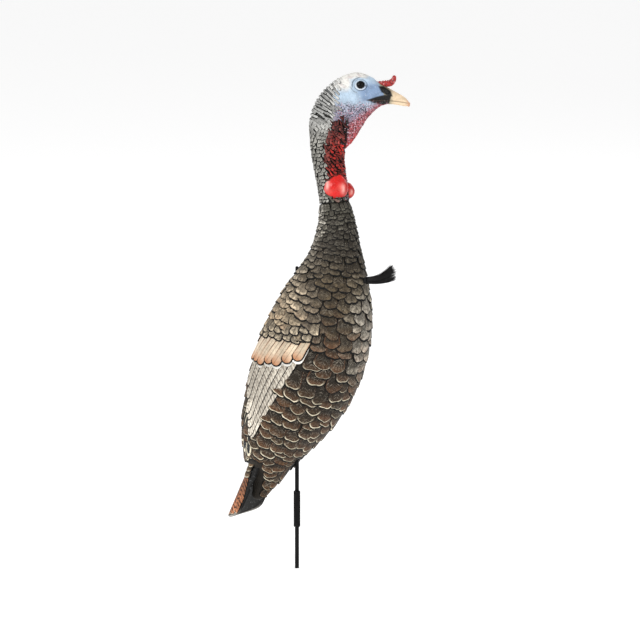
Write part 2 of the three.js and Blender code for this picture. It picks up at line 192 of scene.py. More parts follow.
def feather_paint(name, roughness=0.6, fibres=1.0, barb_depth=0.14 * MM):
    """Painted feathers. Their attributes say how each is coloured.

    feather: the place across and along it, in tenths of a metre, and its own random number
    edges: the width of its pale edge and of the black line outside that, in cm, and its barring
    rim: the distance in from its outline, in cm, how pale its pale edge is, and 1 round its tip
    shape: how far along it a place is, from 0 to 1, how strong its mottle and its painted shade are, and
    how far its tip tans
    """
    paint = Paint(name, roughness=roughness, Specular_IOR_Level=0.18)
    reach, mottled, tanned = paint.split(paint.attribute("shape"))
    across, along, seed = paint.split(paint.attribute("feather"))
    pale_width, dark_width, barring = paint.split(paint.attribute("edges"))
    rim, paleness, at_tip = paint.split(paint.attribute("rim"))
    tint = paint.attribute("tint")
    side = paint.math("ABSOLUTE", across)
    barb = paint.minus(along, paint.times(side, 0.8))
    depth = paint.times(seed, 37.0)
    fibre = paint.join(paint.times(side, 22.0), paint.times(barb, 110.0), depth)
    streak = paint.noise(fibre, 1.0, 3.0, 0.6)
    mottle = paint.noise(paint.join(across, along, depth), 22.0, 3.0, 0.6)
    broad = paint.noise(paint.place(), 16.0, 3.0, 0.5)
    dim = paint.mix(0.72, tint, DARK)
    paint.colour = tint
    paint.coat(paint.times(paint.step(mottle, 0.6, 0.42), mottled), dim)
    # Painted shade: each feather darkens towards its root, where the feather above would shade it.
    shadow = paint.times(paint.step(reach, 0.86, 0.56), 0.7)
    paint.coat(paint.times(shadow, mottled), DARK)
    tan_edge = paint.math("MAXIMUM", paint.step(reach, 0.5, 1.0), paint.step(rim, 0.42, 0.05))
    paint.coat(paint.times(tan_edge, tanned), TAN)
    # The streaks are partly the feathers' own streaking, and partly painted shade in the barbs' furrows and
    # painted highlight on their ridges, on the same streaks as the bump.
    furrow = paint.times(paint.step(streak, 0.5, 0.34), 0.85 * fibres)
    paint.coat(paint.times(furrow, mottled), dim)
    lit = paint.mix(0.3, tint, PALE)
    ridge = paint.times(paint.step(streak, 0.55, 0.7), 0.85 * fibres)
    paint.coat(paint.times(ridge, mottled), lit)
    paint.coat(paint.times(paint.step(broad, 0.58, 0.42), 0.22), DARK)
    shaft = paint.times(paint.step(side, 0.007, 0.002), 0.5)
    paint.coat(shaft, DARK)
    wobble = paint.minus(mottle, 0.5)
    phase = paint.plus(paint.times(barb, 92.0), paint.times(wobble, 5.0))
    bars = paint.times(paint.step(paint.math("SINE", phase), 0.0, 0.5), barring)
    patch = paint.noise(paint.join(across, along, depth), 14.0, 2.0)
    bars = paint.times(bars, paint.step(patch, 0.34, 0.5))
    paint.coat(bars, BAR)
    inset = paint.plus(rim, paint.times(wobble, 0.16))
    both = paint.plus(pale_width, dark_width)
    inner = paint.minus(both, inset)
    edge = paint.mix(paleness, tint, CREAM)
    has_edge = paint.times(paint.step(pale_width, 0.01, 0.03), at_tip)
    has_edge = paint.times(has_edge, paint.step(mottle, 0.30, 0.42))
    paint.coat(paint.times(paint.step(inner, -0.02, 0.03), has_edge), edge)
    # The black line round each feather's outline, strongest at its tip, is partly painted outline and
    # partly painted shade under the tip's overhang.
    line = paint.times(dark_width, paint.plus(0.35, paint.times(at_tip, 0.65)))
    outer = paint.minus(line, inset)
    has_line = paint.step(dark_width, 0.01, 0.03)
    paint.coat(paint.times(paint.step(outer, -0.03, 0.02), has_line), BLACK)
    paint.to("Base Color", paint.colour)
    paint.to("Normal", paint.bump(streak, barb_depth, paint.bump(mottle, 0.3 * MM)))
    gloss = paint.plus(paint.times(mottle, 0.3), roughness - 0.15)
    paint.to("Roughness", gloss)
    return paint.material


TAN = tuple(linear(176, 112, 68))
BLACK = tuple(linear(8, 8, 7))
DARK = tuple(linear(28, 23, 17))
PALE = tuple(linear(232, 222, 204))
CREAM = tuple(linear(232, 221, 194))
BAR = tuple(linear(62, 38, 26))


def plain_paint(name, colour, roughness, grain=350.0, depth=0.05 * MM, spread=0.25, **sockets):
    """A moulded or painted surface: a fine grain, with wear in its colour and its gloss."""
    paint = Paint(name, colour, roughness, **sockets)
    grainy = paint.noise(paint.place(), grain, 3.0)
    worn = paint.noise(paint.place(), 60.0, 5.0, 0.6)
    base = linear(*colour)
    light = tuple(np.minimum(base * (1 + spread) + 0.004, 1))
    colour = paint.mix(paint.step(worn, 0.35, 0.7), tuple(base * (1 - spread)), light)
    paint.to("Base Color", colour)
    gloss = paint.plus(paint.times(worn, 0.25), roughness - 0.12)
    paint.to("Roughness", gloss)
    paint.to("Normal", paint.bump(grainy, depth))
    return paint.material


# --------------------------------------------------------------------- meshes


class Mesher:
    """Gathers vertices, faces and vertex colours for one piece."""

    def __init__(self):
        self.points = []
        self.faces = []
        self.colours = {}
        self.count = 0

    def add(self, points, faces, **colours):
        points = np.asarray(points).reshape(-1, 3)
        self.points.append(points)
        self.faces += [[i + self.count for i in face] for face in faces]
        for name, value in colours.items():
            value = np.broadcast_to(value, (len(points), 3)) if np.ndim(value) < 2 else value
            self.colours.setdefault(name, []).append(np.asarray(value).reshape(-1, 3))
        self.count += len(points)

    def grid(self, points, wrap=False, flip=False, **colours):
        """A grid of points, rows by columns, closed round each row if wrap is true."""
        self.add(points, grid_faces(points.shape[0], points.shape[1], wrap, flip), **colours)

    def build(self, name, material, body, slot, replaces=()):
        points = np.concatenate(self.points)
        # Bounds can't be trusted to show a vertex that isn't a number, so it stops the script here.
        if not np.isfinite(points).all():
            raise ValueError(f"{name} has vertices that aren't finite")
        mesh = bpy.data.meshes.new(name)
        mesh.from_pydata(points.tolist(), [], self.faces)
        for key, values in self.colours.items():
            layer = mesh.color_attributes.new(key, "FLOAT_COLOR", "POINT")
            rgb = np.concatenate(values)
            layer.data.foreach_set("color", np.c_[rgb, np.ones(len(rgb))].ravel())
        # Each shape in the piece is closed where its ends meet, and all its faces look outward.
        solid = bmesh.new()
        solid.from_mesh(mesh)
        bmesh.ops.remove_doubles(solid, verts=solid.verts, dist=WELD)
        bmesh.ops.holes_fill(solid, edges=[edge for edge in solid.edges if edge.is_boundary])
        bmesh.ops.recalc_face_normals(solid, faces=solid.faces)
        solid.to_mesh(mesh)
        solid.free()
        mesh.shade_smooth()
        mesh.materials.append(material)
        piece = bpy.data.objects.new(name, mesh)
        bpy.context.collection.objects.link(piece)
        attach(piece, body)
        if replaces:
            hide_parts(*replaces)
        return piece


def grid_faces(rows, columns, wrap=False, flip=False):
    faces = []
    for i in range(rows - 1):
        for j in range(columns if wrap else columns - 1):
            k = (j + 1) % columns
            a, b = i * columns + j, i * columns + k
            c, d = b + columns, a + columns
            faces.append((a, d, c, b) if flip else (a, b, c, d))
    return faces


def lathe(profile, segments=48):
    """Rings of points turned about Z from (radius, height) pairs."""
    angle = np.linspace(0, 2 * np.pi, segments, endpoint=False)
    r, z = np.array(profile, float).T
    return np.stack(
        [np.outer(r, np.cos(angle)), np.outer(r, np.sin(angle)), np.outer(z, np.ones(segments))], -1
    )


def catmull(points, count):
    """A smooth curve through points, at count places."""
    p = np.asarray(points, float)
    p = np.vstack([2 * p[0] - p[1], p, 2 * p[-1] - p[-2]])
    t = np.linspace(0, len(points) - 1, count)
    i = np.minimum(t.astype(int), len(points) - 2)
    f = (t - i)[:, None]
    a, b, c, d = p[i], p[i + 1], p[i + 2], p[i + 3]
    square, cube = 2 * a - 5 * b + 4 * c - d, 3 * b - a - 3 * c + d
    return 0.5 * (2 * b + (c - a) * f + square * f**2 + cube * f**3)


def surface_of(name):
    """A CAD node's surface, to cast rays at."""
    mesh = NODES[name].data
    corners = [v.co.copy() for v in mesh.vertices]
    return BVHTree.FromPolygons(corners, [list(p.vertices) for p in mesh.polygons])


# ----------------------------------------------------------------- the skins


class Skin:
    """The smooth outside of a CAD shell, as rings square to a spine in its plane of symmetry.

    Rays are cast in from reach away and fitted with waves cosines. throat is -1 where the spine
    runs upward. Before covered the front is hidden under the lobes and left out of the fit. After
    carried the outline isn't measured: its taper is carried on.
    """

    RINGS = 120
    RAYS = 72
    FINE_RINGS = 480
    FINE_RAYS = 360
    FIRST_RING = 2.5 * MM
    LAST_RING = 1.5 * MM
    COVERED_ANGLE = 1.5
    CARRIED_TAPER = 0.9

    def __init__(self, node, spine, turn, reach, waves, throat=1, covered=0.0, carried=math.inf):
        self.turn, self.throat, self.covered, self.carried = turn, throat, covered, carried
        line = catmull(spine, 2000)
        travelled = np.r_[0, np.cumsum(np.linalg.norm(np.diff(line, axis=0), axis=1))]
        self.length = travelled[-1]
        self.spine = lambda s: np.stack([np.interp(s, travelled, line[:, k]) for k in (0, 1)], -1)
        self.s = np.linspace(self.FIRST_RING, self.length - self.LAST_RING, self.RINGS)
        self.radii = self.measure(surface_of(node), reach, waves)
        self.tabulate()

    def axes(self, s):
        """The spine's points and the forward directions square to it, in the shell's own plane."""
        step = 4 * MM
        ahead = self.spine(np.clip(s + step, 0, self.length))
        behind = self.spine(np.clip(s - step, 0, self.length))
        along = ahead - behind
        along /= np.linalg.norm(along, axis=-1, keepdims=True)
        return self.spine(s), self.throat * np.stack([-along[..., 1], along[..., 0]], -1)

    def world(self, centre, forward, radius, angle):
        """Points at a radius and an angle round the spine."""
        reach = radius * np.cos(angle)
        x = centre[..., 0] + forward[..., 0] * reach
        z = centre[..., 1] + forward[..., 1] * reach
        local = np.stack([x, radius * np.sin(angle), z], -1) - SEAM
        return local @ self.turn.T + SEAM

    def measure(self, shell, reach, waves):
        """Each ring's outline, as the weights of a few cosines, from rays cast in from outside."""
        angle = np.linspace(-np.pi, np.pi, self.RAYS, endpoint=False)
        basis = np.cos(np.outer(angle, np.arange(waves + 1)))
        weights = []
        for s in self.s:
            if s > self.carried:
                weights.append(self.CARRIED_TAPER * weights[-1])
                continue
            centre, forward = self.axes(np.array(s))
            origin = self.world(centre, forward, np.zeros(1), np.zeros(1))[0]
            outside = self.world(centre, forward, np.full(self.RAYS, reach), angle)
            radius = np.full(self.RAYS, np.nan)
            for k, start in enumerate(outside):
                hit = shell.ray_cast(Vector(start), Vector(origin - start), reach)
                if hit[0] is not None:
                    radius[k] = reach - hit[3]
            proud = s < self.covered
            if proud:
                radius[np.abs(angle) < self.COVERED_ANGLE] = np.nan
            weights.append(robust_fit(basis, radius, 3 if proud else waves + 1))
        weights = np.array(weights)
        for _ in range(2):
            weights[1:-1] = 0.5 * weights[1:-1] + 0.25 * (weights[:-2] + weights[2:])
        return weights

    def tabulate(self):
        s = np.linspace(0, self.length, self.FINE_RINGS)
        a = np.linspace(-np.pi, np.pi, self.FINE_RAYS + 1)
        weights = np.stack([np.interp(s, self.s, w) for w in self.radii.T], -1)
        radius = weights @ np.cos(np.outer(np.arange(weights.shape[1]), a))
        centre, forward = self.axes(s)
        self.table = self.world(centre[:, None], forward[:, None], radius, a[None])
        along = np.gradient(self.table, s, axis=0)
        around = np.gradient(self.table, a, axis=1)
        around[:, 0] = around[:, -1] = 0.5 * (around[:, 0] + around[:, -1])
        normal = np.cross(around, along)
        self.normals = normal / np.linalg.norm(normal, axis=-1, keepdims=True)
        outward = self.table - self.table.mean(1, keepdims=True)
        if (outward * self.normals).sum() < 0:
            self.normals = -self.normals
        self.metric = np.linalg.norm(around, axis=-1)

    def look_up(self, table, s, a):
        row = np.clip(s / self.length, 0, 1) * (self.FINE_RINGS - 1)
        column = ((a + np.pi) / (2 * np.pi) % 1.0) * self.FINE_RAYS
        i = np.minimum(row.astype(int), self.FINE_RINGS - 2)
        j = np.minimum(column.astype(int), self.FINE_RAYS - 1)
        f, g = row - i, column - j
        if table.ndim == 3:
            f, g = f[..., None], g[..., None]
        top = table[i, j] * (1 - g) + table[i, j + 1] * g
        low = table[i + 1, j] * (1 - g) + table[i + 1, j + 1] * g
        return top * (1 - f) + low * f

    def at(self, s, a, lift=0.0):
        """Points on the skin, raised along its normals by lift."""
        s, a = np.broadcast_arrays(np.asarray(s, float), np.asarray(a, float))
        raised = np.broadcast_to(lift, s.shape)[..., None]
        return self.look_up(self.table, s, a) + self.look_up(self.normals, s, a) * raised

    def normal(self, s, a):
        places = np.broadcast_arrays(np.asarray(s, float), np.asarray(a, float))
        return self.look_up(self.normals, *places)

    def girth(self, s, a):
        """How far a radian round the skin is, at a place."""
        return float(self.look_up(self.metric, np.array(s, float), np.array(a, float)))


LEAST_MISS = 0.6 * MM
MISSES_KEPT = 2.5


def robust_fit(basis, radius, terms):
    """Least squares that lets go of the rays that fell into a hole or hit something proud."""
    kept = ~np.isnan(radius)
    weights = np.zeros(basis.shape[1])
    for _ in range(6):
        if kept.sum() < terms + 4:
            break
        weights[:terms] = np.linalg.lstsq(basis[kept, :terms], radius[kept], rcond=None)[0]
        miss = np.abs(basis @ weights - radius)
        limit = max(LEAST_MISS, MISSES_KEPT * np.nanmedian(miss))
        kept = ~np.isnan(radius) & (miss < limit)
    return weights


# The spines, in the plane of symmetry: the body's from the seam down to the undertail, and the
# head's from the seam up through the neck and out along the bill.
BODY_SPINE = [
    (64.5, 576),
    (69, 545),
    (67, 500),
    (52, 420),
    (26, 338),
    (-8, 252),
    (-46, 178),
    (-66, 124),
    (-70, 112),
]
HEAD_SPINE = [
    (64.5, 576),
    (60.5, 606),
    (54.5, 640),
    (54, 672),
    (62, 703),
    (78, 729),
    (100, 746),
    (124, 749),
    (148, 741),
    (178, 728.6),
]
SEAM = np.array(JOINTS["head_turn"]["pos_m"])
# How far from the seam, in mm, the feathers and bumps on either side of it end.
SEAM_GAP = 0.5
NECK_AXIS = Vector(JOINTS["head_turn"]["axis"])


def middle(node):
    low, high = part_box(node)
    return (low + high) / 2


def head_turn():
    """How the head is turned about the neck, from the line between its eyes."""
    aside = (middle("eye_left") - middle("eye_right")).normalized()
    ahead = Vector((0, 1, 0)).cross(NECK_AXIS)
    angle = math.atan2(-aside.dot(ahead), aside.y)
    return np.array(Matrix.Rotation(angle, 3, NECK_AXIS))


HEAD_TURN = head_turn()
# Past the rounded end of the body's shell the outline's taper is carried on.
body = Skin("body_shell", np.array(BODY_SPINE) * MM, np.eye(3), 0.13, 4, carried=469 * MM)
head = Skin(
    "head_shell", np.array(HEAD_SPINE) * MM, HEAD_TURN, 0.056, 9, throat=-1, covered=46 * MM
)


def smooth(x, low, high):
    t = np.clip((x - low) / (high - low), 0, 1)
    return t * t * (3 - 2 * t)


def between(x, places, values):
    """Linear between places, for numbers or for rows of numbers."""
    values = np.asarray(values, float)
    if values.ndim == 1:
        return float(np.interp(x, places, values))
    return np.array([np.interp(x, places, column) for column in values.T])


# -------------------------------------------------------------------- feathers


class Look:
    """How a feather is painted: its colour, its edge widths in mm, and its marks from 0 to 1."""

    def __init__(
        self, tint, pale=0.0, dark=1.2, bars=0.0, paleness=1.0, mottled=1.0, tanned=0.0, sides=0.0
    ):
        self.tint, self.pale, self.dark, self.bars, self.paleness = tint, pale, dark, bars, paleness
        self.mottled, self.tanned, self.sides = mottled, tanned, sides


FACES = {}


def feather_faces(across, rows):
    """The faces of a feather's grid, of the rim round it and of its hidden underside."""
    if (across, rows) not in FACES:
        top = grid_faces(rows, across)
        loop = [i * across for i in range(rows)]
        loop += [(rows - 1) * across + j for j in range(1, across)]
        loop += [i * across + across - 1 for i in range(rows - 2, -1, -1)]
        loop += list(range(across - 2, 0, -1))
        start = rows * across
        count = len(loop)
        rim = [
            (loop[k], start + k, start + (k + 1) % count, loop[(k + 1) % count])
            for k in range(count)
        ]
        under = [tuple(start + k for k in range(count))]
        faces = [tuple(reversed(f)) for f in top] + [tuple(reversed(f)) for f in rim] + under
        FACES[across, rows] = (np.array(loop), faces, [tuple(reversed(f)) for f in faces])
    return FACES[across, rows]


def feather(
    mesher, skin, root, tip, width, look, lifts=(-1.6, 0.5), crown=0.6, cap=1.0, square=2.3,
    narrow=0.75, sink=1.5, bend=0.0, grid=(9, 13), rough=0.0,
):
    """One closed scale on a skin, from its buried root to its tip. Widths and lifts are in mm."""
    across, rows = grid
    (s0, a0), (s1, a1) = root, tip
    girth = skin.girth((s0 + s1) / 2, (a0 + a1) / 2)
    span = np.array([s1 - s0, (a1 - a0) * girth])
    length = np.linalg.norm(span)
    along = span / length
    half = width * MM / 2
    cap_length = min(half * cap, 0.7 * length)
    straight = length - cap_length
    cap_rows = rows // 2 + 1
    turn = np.linspace(0, math.radians(83), cap_rows)
    q = np.r_[
        np.linspace(0, straight, rows - cap_rows, endpoint=False),
        straight + cap_length * np.sin(turn) ** (2 / square),
    ]
    w = half * np.r_[
        np.linspace(narrow, 1, rows - cap_rows, endpoint=False), np.cos(turn) ** (2 / square)
    ]
    u = np.sin(np.linspace(-1, 1, across) * math.pi / 2 * 0.93) / math.sin(math.pi / 2 * 0.93)
    p = w[:, None] * u
    q = np.broadcast_to(q[:, None], p.shape)
    past = np.clip((q - straight) / cap_length, 0, None)
    phase = rng.random(2) * 2 * math.pi
    uneven = rough * half * np.minimum(past, 1)
    inset = half * (1 - ((np.abs(p) / half) ** square + past**square) ** (1 / square))
    inset = np.where(past > 0, inset, w[:, None] - np.abs(p))
    q = q + uneven * np.sin(3.1 * u + phase[0])
    p = p + 0.6 * uneven * np.sin(4.0 * past + phase[1])
    t = q / length
    lift = lifts[0] + (lifts[1] - lifts[0]) * t**0.8
    lift = lift + crown * (1 - (p / half) ** 2) + 0.14 * np.exp(-((p / (0.6 * MM)) ** 2))
    seed = rng.random()
    ripple = np.sin(2 * math.pi * ((q - 0.8 * np.abs(p)) / (3.4 * MM) + seed))
    lift = lift + 0.09 * ripple
    loop, faces, flipped = feather_faces(across, rows)
    p_all = np.r_[p.ravel(), p.ravel()[loop] * 1.01]
    q_all = np.r_[q.ravel(), q.ravel()[loop]]
    lift_all = np.r_[lift.ravel(), lift.ravel()[loop] - sink] * MM
    shift = p_all + bend * MM * (q_all / length) ** 2
    s = s0 + along[0] * q_all - along[1] * shift
    a = a0 + (along[1] * q_all + along[0] * shift) / girth
    points = skin.at(s, a, lift_all)
    i = (rows // 2) * across + across // 2
    normal = np.cross(points[i + 1] - points[i], points[i + across] - points[i])
    outward = skin.normal(s[i : i + 1], a[i : i + 1])[0]
    turned = normal @ outward < 0
    n = len(points)
    feather_data = np.c_[p_all * 10, q_all * 10, np.full(n, seed)]
    edges = np.tile([look.pale / 10, look.dark / 10, look.bars], (n, 1))
    at_tip = np.maximum(smooth(past - 0.35 * np.abs(p) / half, -0.12, 0.3), look.sides).ravel()
    rim = np.c_[
        np.r_[inset.ravel(), np.zeros(len(loop))] * 100,
        np.full(n, look.paleness),
        np.r_[at_tip, at_tip[loop]],
    ]
    shape = np.c_[np.clip(q_all / length, 0, 1), np.full(n, look.mottled), np.full(n, look.tanned)]
    tint = np.tile(linear(*look.tint) * (1 + 0.36 * (rng.random() - 0.5)), (n, 1))
    faces = flipped if turned else faces
    mesher.add(points, faces, feather=feather_data, edges=edges, rim=rim, tint=tint, shape=shape)


DEG = math.pi / 180

# Where the back's feathers give way to the side's, as angles in degrees down the body in mm.
BACK_LINE = ([0, 50, 112, 161, 206, 245, 275], [100, 114, 118, 91, 76, 74, 138])
WING_FRONT = ([200, 227, 247, 388, 432], [75, 70, 79, 104, 108])
WING_BACK = ([200, 235, 280, 321, 388, 432], [160, 146, 138, 138, 122, 116])
COVERT_LINE = ([76, 146], [206, 236])
# Where the last body feathers end over the tail, as mm down the body at angles in degrees.
BODY_END = ([0, 20, 40, 60, 80, 100, 130, 180], [496, 488, 466, 438, 426, 426, 440, 448])

NECK_GREY = (226, 221, 208)
BACK_GREY = (206, 188, 162)
COVERT_TAN = (218, 196, 162)
NECK_DARK = (112, 110, 98)
BREAST_BROWN = (112, 97, 74)
BREAST_PALE = (222, 214, 198)
FLANK_BROWN = (68, 55, 38)
VENT_BROWN = (84, 66, 43)
RUMP = (104, 86, 64)


def body_look(s, degrees):
    """The paint of a body feather s mm below the seam, at an angle from the breast's midline."""
    a = abs(degrees)
    back = between(s, *BACK_LINE)
    on_back = smooth(a + rng.normal() * 5, back - 8, back + 8)
    grey = between(s, [0, 70, 130, 215, 300, 430], [
        NECK_GREY, (176, 168, 154), BACK_GREY, COVERT_TAN, RUMP, RUMP,
    ])
    dark = between(s, [0, 60, 120, 210, 260, 477], [
        NECK_DARK, (82, 77, 67), BREAST_BROWN, (70, 60, 45), FLANK_BROWN, VENT_BROWN,
    ])
    on_edge = 0.9 * smooth(a + rng.normal() * 2, 42, 8) * smooth(s, 85, 150) * smooth(s, 270, 215)
    colour = dark + (np.array(BREAST_PALE) - dark) * on_edge
    seam_side = smooth(a, back - 34, back - 8) * smooth(s, 50, 90) * smooth(s, 235, 200)
    colour = colour + (np.array([150, 138, 122]) - colour) * 0.55 * seam_side
    colour = colour + (grey - colour) * on_back
    flank = smooth(s + rng.normal() * 6 + 0.45 * (a - 40), 214, 240) * (1 - on_back)
    pale = (1.3 + 0.7 * rng.random()) * flank * smooth(rng.random(), 0.04, 0.16)
    pale = pale * (1 - 0.35 * smooth(s, 400, 440))
    line = between(s, [0, 60, 130, 220], [1.3, 1.6, 2.6, 2.6])
    # The flank's feathers get stronger mottle and deeper painted shade at their roots.
    deep = 0.95 + 0.45 * smooth(s, 190, 240) * (1 - on_back)
    warm = 0.3 * rng.random() * smooth(s, 120, 220)
    return Look(colour, pale, line * (1 - 0.2 * flank), 0.0, 0.4 + 0.6 * rng.random(), deep, warm)


def near_fitting(skin, s, a):
    """Whether a feather here would cover the beard's root or the stake's rings."""
    place = skin.at(np.array([s]), np.array([a]))[0]
    beard = np.array(middle("beard_grommet"))
    if np.linalg.norm(place[[0, 2]] - beard[[0, 2]]) < 13 * MM and abs(place[1]) < 8 * MM:
        return True
    return math.hypot(place[0], place[1]) < 13.5 * MM


ROW_PITCH = ([0, 60, 110, 170, 230, 400, 477], [6.0, 7.8, 11.0, 13.4, 15.6, 15.0, 12.0])


def body_feathers():
    """Every body feather, in rows from the neck down. Each tract of them makes a piece."""
    tracts = {}
    s = 1.0
    row = 0
    while s < 476:
        pitch = between(s, *ROW_PITCH)
        width = between(s, [0, 60, 90, 130, 230, 400, 477], [8.0, 11.5, 17, 24, 30, 27, 18])
        length = pitch * between(s, [0, 100, 477], [2.0, 2.05, 2.2])
        girth = float(np.mean([body.girth(s * MM, k * DEG) for k in range(0, 180, 20)])) / MM
        count = max(8, round(2 * math.pi * girth / (width * 0.84)))
        for k in range(count):
            degrees = (k + 0.5 * (row % 2) + 0.09 * rng.normal()) * 360 / count
            degrees = (degrees + 180) % 360 - 180
            a = abs(degrees)
            place = max(s + rng.normal() * pitch * 0.14, SEAM_GAP)
            tip = place + length * (1 + 0.08 * rng.normal())
            twist = rng.normal() * 3.0
            shape = rng.random(3)
            limit = between(a, *BODY_END) + rng.random()
            if place > limit - 11:
                continue
            tip = min(tip, limit)
            centre = place + 0.62 * length
            if near_fitting(body, centre * MM, degrees * DEG):
                continue
            front, rear = between(centre, *WING_FRONT), between(centre, *WING_BACK)
            if 245 < centre < 425 and front + 1 < a < rear - 5:
                continue
            if a > 72 and a < 152 and 190 < centre < 262 and tip > between(a, *COVERT_LINE) + 4:
                continue
            look = body_look(centre, degrees)
            tract = (min(int(place // 62), 6), "left" if degrees > 0 else "right")
            # The back's feathers lie over the breast's, along an edge that falls from the shoulder.
            back = between(centre, *BACK_LINE)
            shoulder = smooth(a, back - 6, back + 1) * smooth(a, back + 30, back + 8)
            shoulder *= smooth(centre, 55, 95) * smooth(centre, 262, 240)
            root_lift = -2.2 + 1.7 * smooth(place, 12, 2)
            loose = 0.5 + 0.7 * smooth(place, 60, 130)
            tip_lift = 0.9 + loose * (0.4 + shape[1]) + 1.3 * shoulder
            mesher = tracts.setdefault(tract, Mesher())
            feather(
                mesher, body, (place * MM, degrees * DEG), (tip * MM, (degrees + twist) * DEG),
                width * (0.92 + 0.18 * shape[0]), look, (root_lift, tip_lift), 0.8,
                cap=0.44 + 0.34 * shape[2], square=2.1 + 0.8 * rng.random(), rough=0.09, sink=2.2,
            )
        s += pitch
        row += 1
    return tracts


# The wing's feathers, as places (s in mm, a in degrees): roots and tips, and tips alone.
PRIMARIES = [
    ((352, 128), (412, 131)),
    ((350, 122), (424, 121)),
    ((346, 115), (434, 113)),
    ((340, 108), (425, 107)),
]
SECONDARY_TIPS = [
    (390, 105), (388, 108.5), (381, 112), (371, 116), (358, 121), (342, 128), (322, 135),
]


def wing(side):
    """One folded wing: primaries, secondaries, seven bronze coverts and the coverts above."""
    mesher = Mesher()

    def lay(root, tip, width, look, **shape):
        turned = [(s * MM, side * a * DEG) for s, a in (root, tip)]
        feather(mesher, body, *turned, width, look, **shape)

    # Primaries, black with pale edges, out past the secondaries' tips.
    for i, (root, tip) in enumerate(PRIMARIES):
        look = Look((36, 40, 44), 2.6, 0.0, 0.0, mottled=0.4, sides=1.0)
        lay(root, tip, 14, look, lifts=(-1.4, 1.3 + 0.3 * i), cap=1.7, grid=(9, 22))
    # Secondaries, pale and streaked, which close to a point.
    for i, (tip_s, tip_a) in enumerate(SECONDARY_TIPS):
        t = i / 6
        root = (236 + 38 * t, 82 + 53 * t)
        look = Look((250, 240, 222), 0, 1.3, 0.5, mottled=0.42, sides=1.0)
        tip = (tip_s + 2 * rng.normal(), tip_a + 4.2)
        lay(
            root, tip, 17 - 3 * abs(t - 0.5), look, lifts=(0.42 * i + 0.6, 1.9 + 0.42 * i),
            crown=0.35, cap=1.9, grid=(11, 24), square=2.0, narrow=0.95, sink=3.0, bend=-5.5 * side,
        )
    # The bronze coverts, each over a white one that shows as a line below it.
    for i in (6, 5, 4, 3, 2, 1, 0):
        t = (i + 0.5) / 6
        root = (198 + 30 * t, 70 + 63 * t)
        tip = (233 + 10 * math.sin(math.pi * t) + 46 * t + 1.5 * rng.normal(), 77 + 65 * t)
        under = (tip[0] + 3.4, tip[1])
        white = Look((250, 246, 238), 0, 0, mottled=0.1)
        lay(root, under, 20.5, white, lifts=(-1.0, 2.8), cap=0.9)
        tint = (236 + 6 * t, 214 + 8 * t, 184 + 12 * t)
        look = Look(tint, 0, 1.9, mottled=0.25, tanned=0.9, sides=1.0)
        lay(
            root, tip, 19.0, look, lifts=(0.8, 4.2), crown=1.5, cap=1.0, square=2.1, narrow=0.82,
            grid=(11, 15),
        )
    # The coverts above them, in two rows that end along the bronze ones' tops.
    for row in (0, 1):
        for i in range(7):
            t = (i + 0.5 - 0.5 * row) / 6.5
            a = 72 + 76 * t
            tip_s = between(a, *COVERT_LINE) + 3 - 11 * row + 1.5 * rng.normal()
            look = Look((214, 196, 168), 0, 3.2, 0.0, 0.6, sides=0.5)
            tip = (tip_s, a + rng.normal())
            lay((tip_s - 27, a), tip, 18, look, lifts=(-1.6, 4.6 - 0.9 * row), cap=0.6, square=2.6)
    return mesher


# How deep the skin lies under the feathers, how deep the neck's bore goes, and the gap that the
# bore leaves round the CAD socket and at the seam.
SKIN_DEPTH = 1.8 * MM
BORE_DEPTH = 41 * MM
GAP = 0.3 * MM


def bore(angles, way, turn=None):
    """The rings of the neck's bore, from its blind end to the seam: way is 1 up, -1 down."""
    axis = np.array(NECK_AXIS)
    ahead = np.cross([0, 1, 0], axis)
    low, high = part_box("neck_socket")
    radius = (high.y - low.y) / 2 + GAP
    forward = np.cos(angles)[:, None] * ahead * -way
    ring = radius * (forward + np.sin(angles)[:, None] * np.array([0, 1, 0]))
    if turn is not None:
        ring = ring @ turn.T
    places = [(0, BORE_DEPTH), (1, BORE_DEPTH), (1, BORE_DEPTH / 2), (1, GAP)]
    return [SEAM + ring * k + way * axis * d for k, d in places]


def dome(end, reach, turns):
    """Rings that close the last one of a skin, out to a point."""
    centre = end.mean(0)
    rings = [centre + (end - centre) * math.cos(t) + reach * math.sin(t) for t in turns]
    return [*rings, np.tile(rings[-1].mean(0), (len(end), 1))]


def body_skin():
    """What shows between the feathers: a closed skin with the neck's bore in its top."""
    mesher = Mesher()
    s = np.linspace(0, body.length, 150)
    a = np.linspace(-np.pi, np.pi, 96, endpoint=False)
    outside = body.at(s[:, None], a[None], -SKIN_DEPTH)
    inner = bore(a, -1)
    mouth = outside[0] - np.array(NECK_AXIS) * GAP
    tail = body.spine(np.array(body.length)) - body.spine(np.array(body.length - 0.01))
    outward = np.array([tail[0], 0, tail[1]]) / np.linalg.norm(tail)
    caps = dome(outside[-1], outward * 9 * MM, (0.3, 0.6, 0.9, 1.2, 1.5))
    rim = mouth * 0.4 + inner[-1] * 0.6
    mesher.grid(np.array([*inner, rim, mouth, *outside[1:], *caps]), wrap=True, flip=True)
    return mesher


plumage = feather_paint("plumage")
# The skin between the feathers is near black: painted shade in the gaps between them.
gap_shade_paint = plain_paint("gap_shade_paint", (38, 33, 26), 0.75, grain=420, depth=0.3 * MM)

body_skin().build("body_skin", gap_shade_paint, "decoy", "plumage", ["body_shell"])
for (level, side), mesher in sorted(body_feathers().items()):
    mesher.build(f"feathers_{side}_{level + 1}", plumage, "decoy", "plumage")
for side, name in ((1, "left"), (-1, "right")):
    wing(side).build(f"wing_{name}", plumage, "decoy", "plumage")


# -------------------------------------------------------------------- the head

BILL_POINT = (178.8, 0, 726.4)

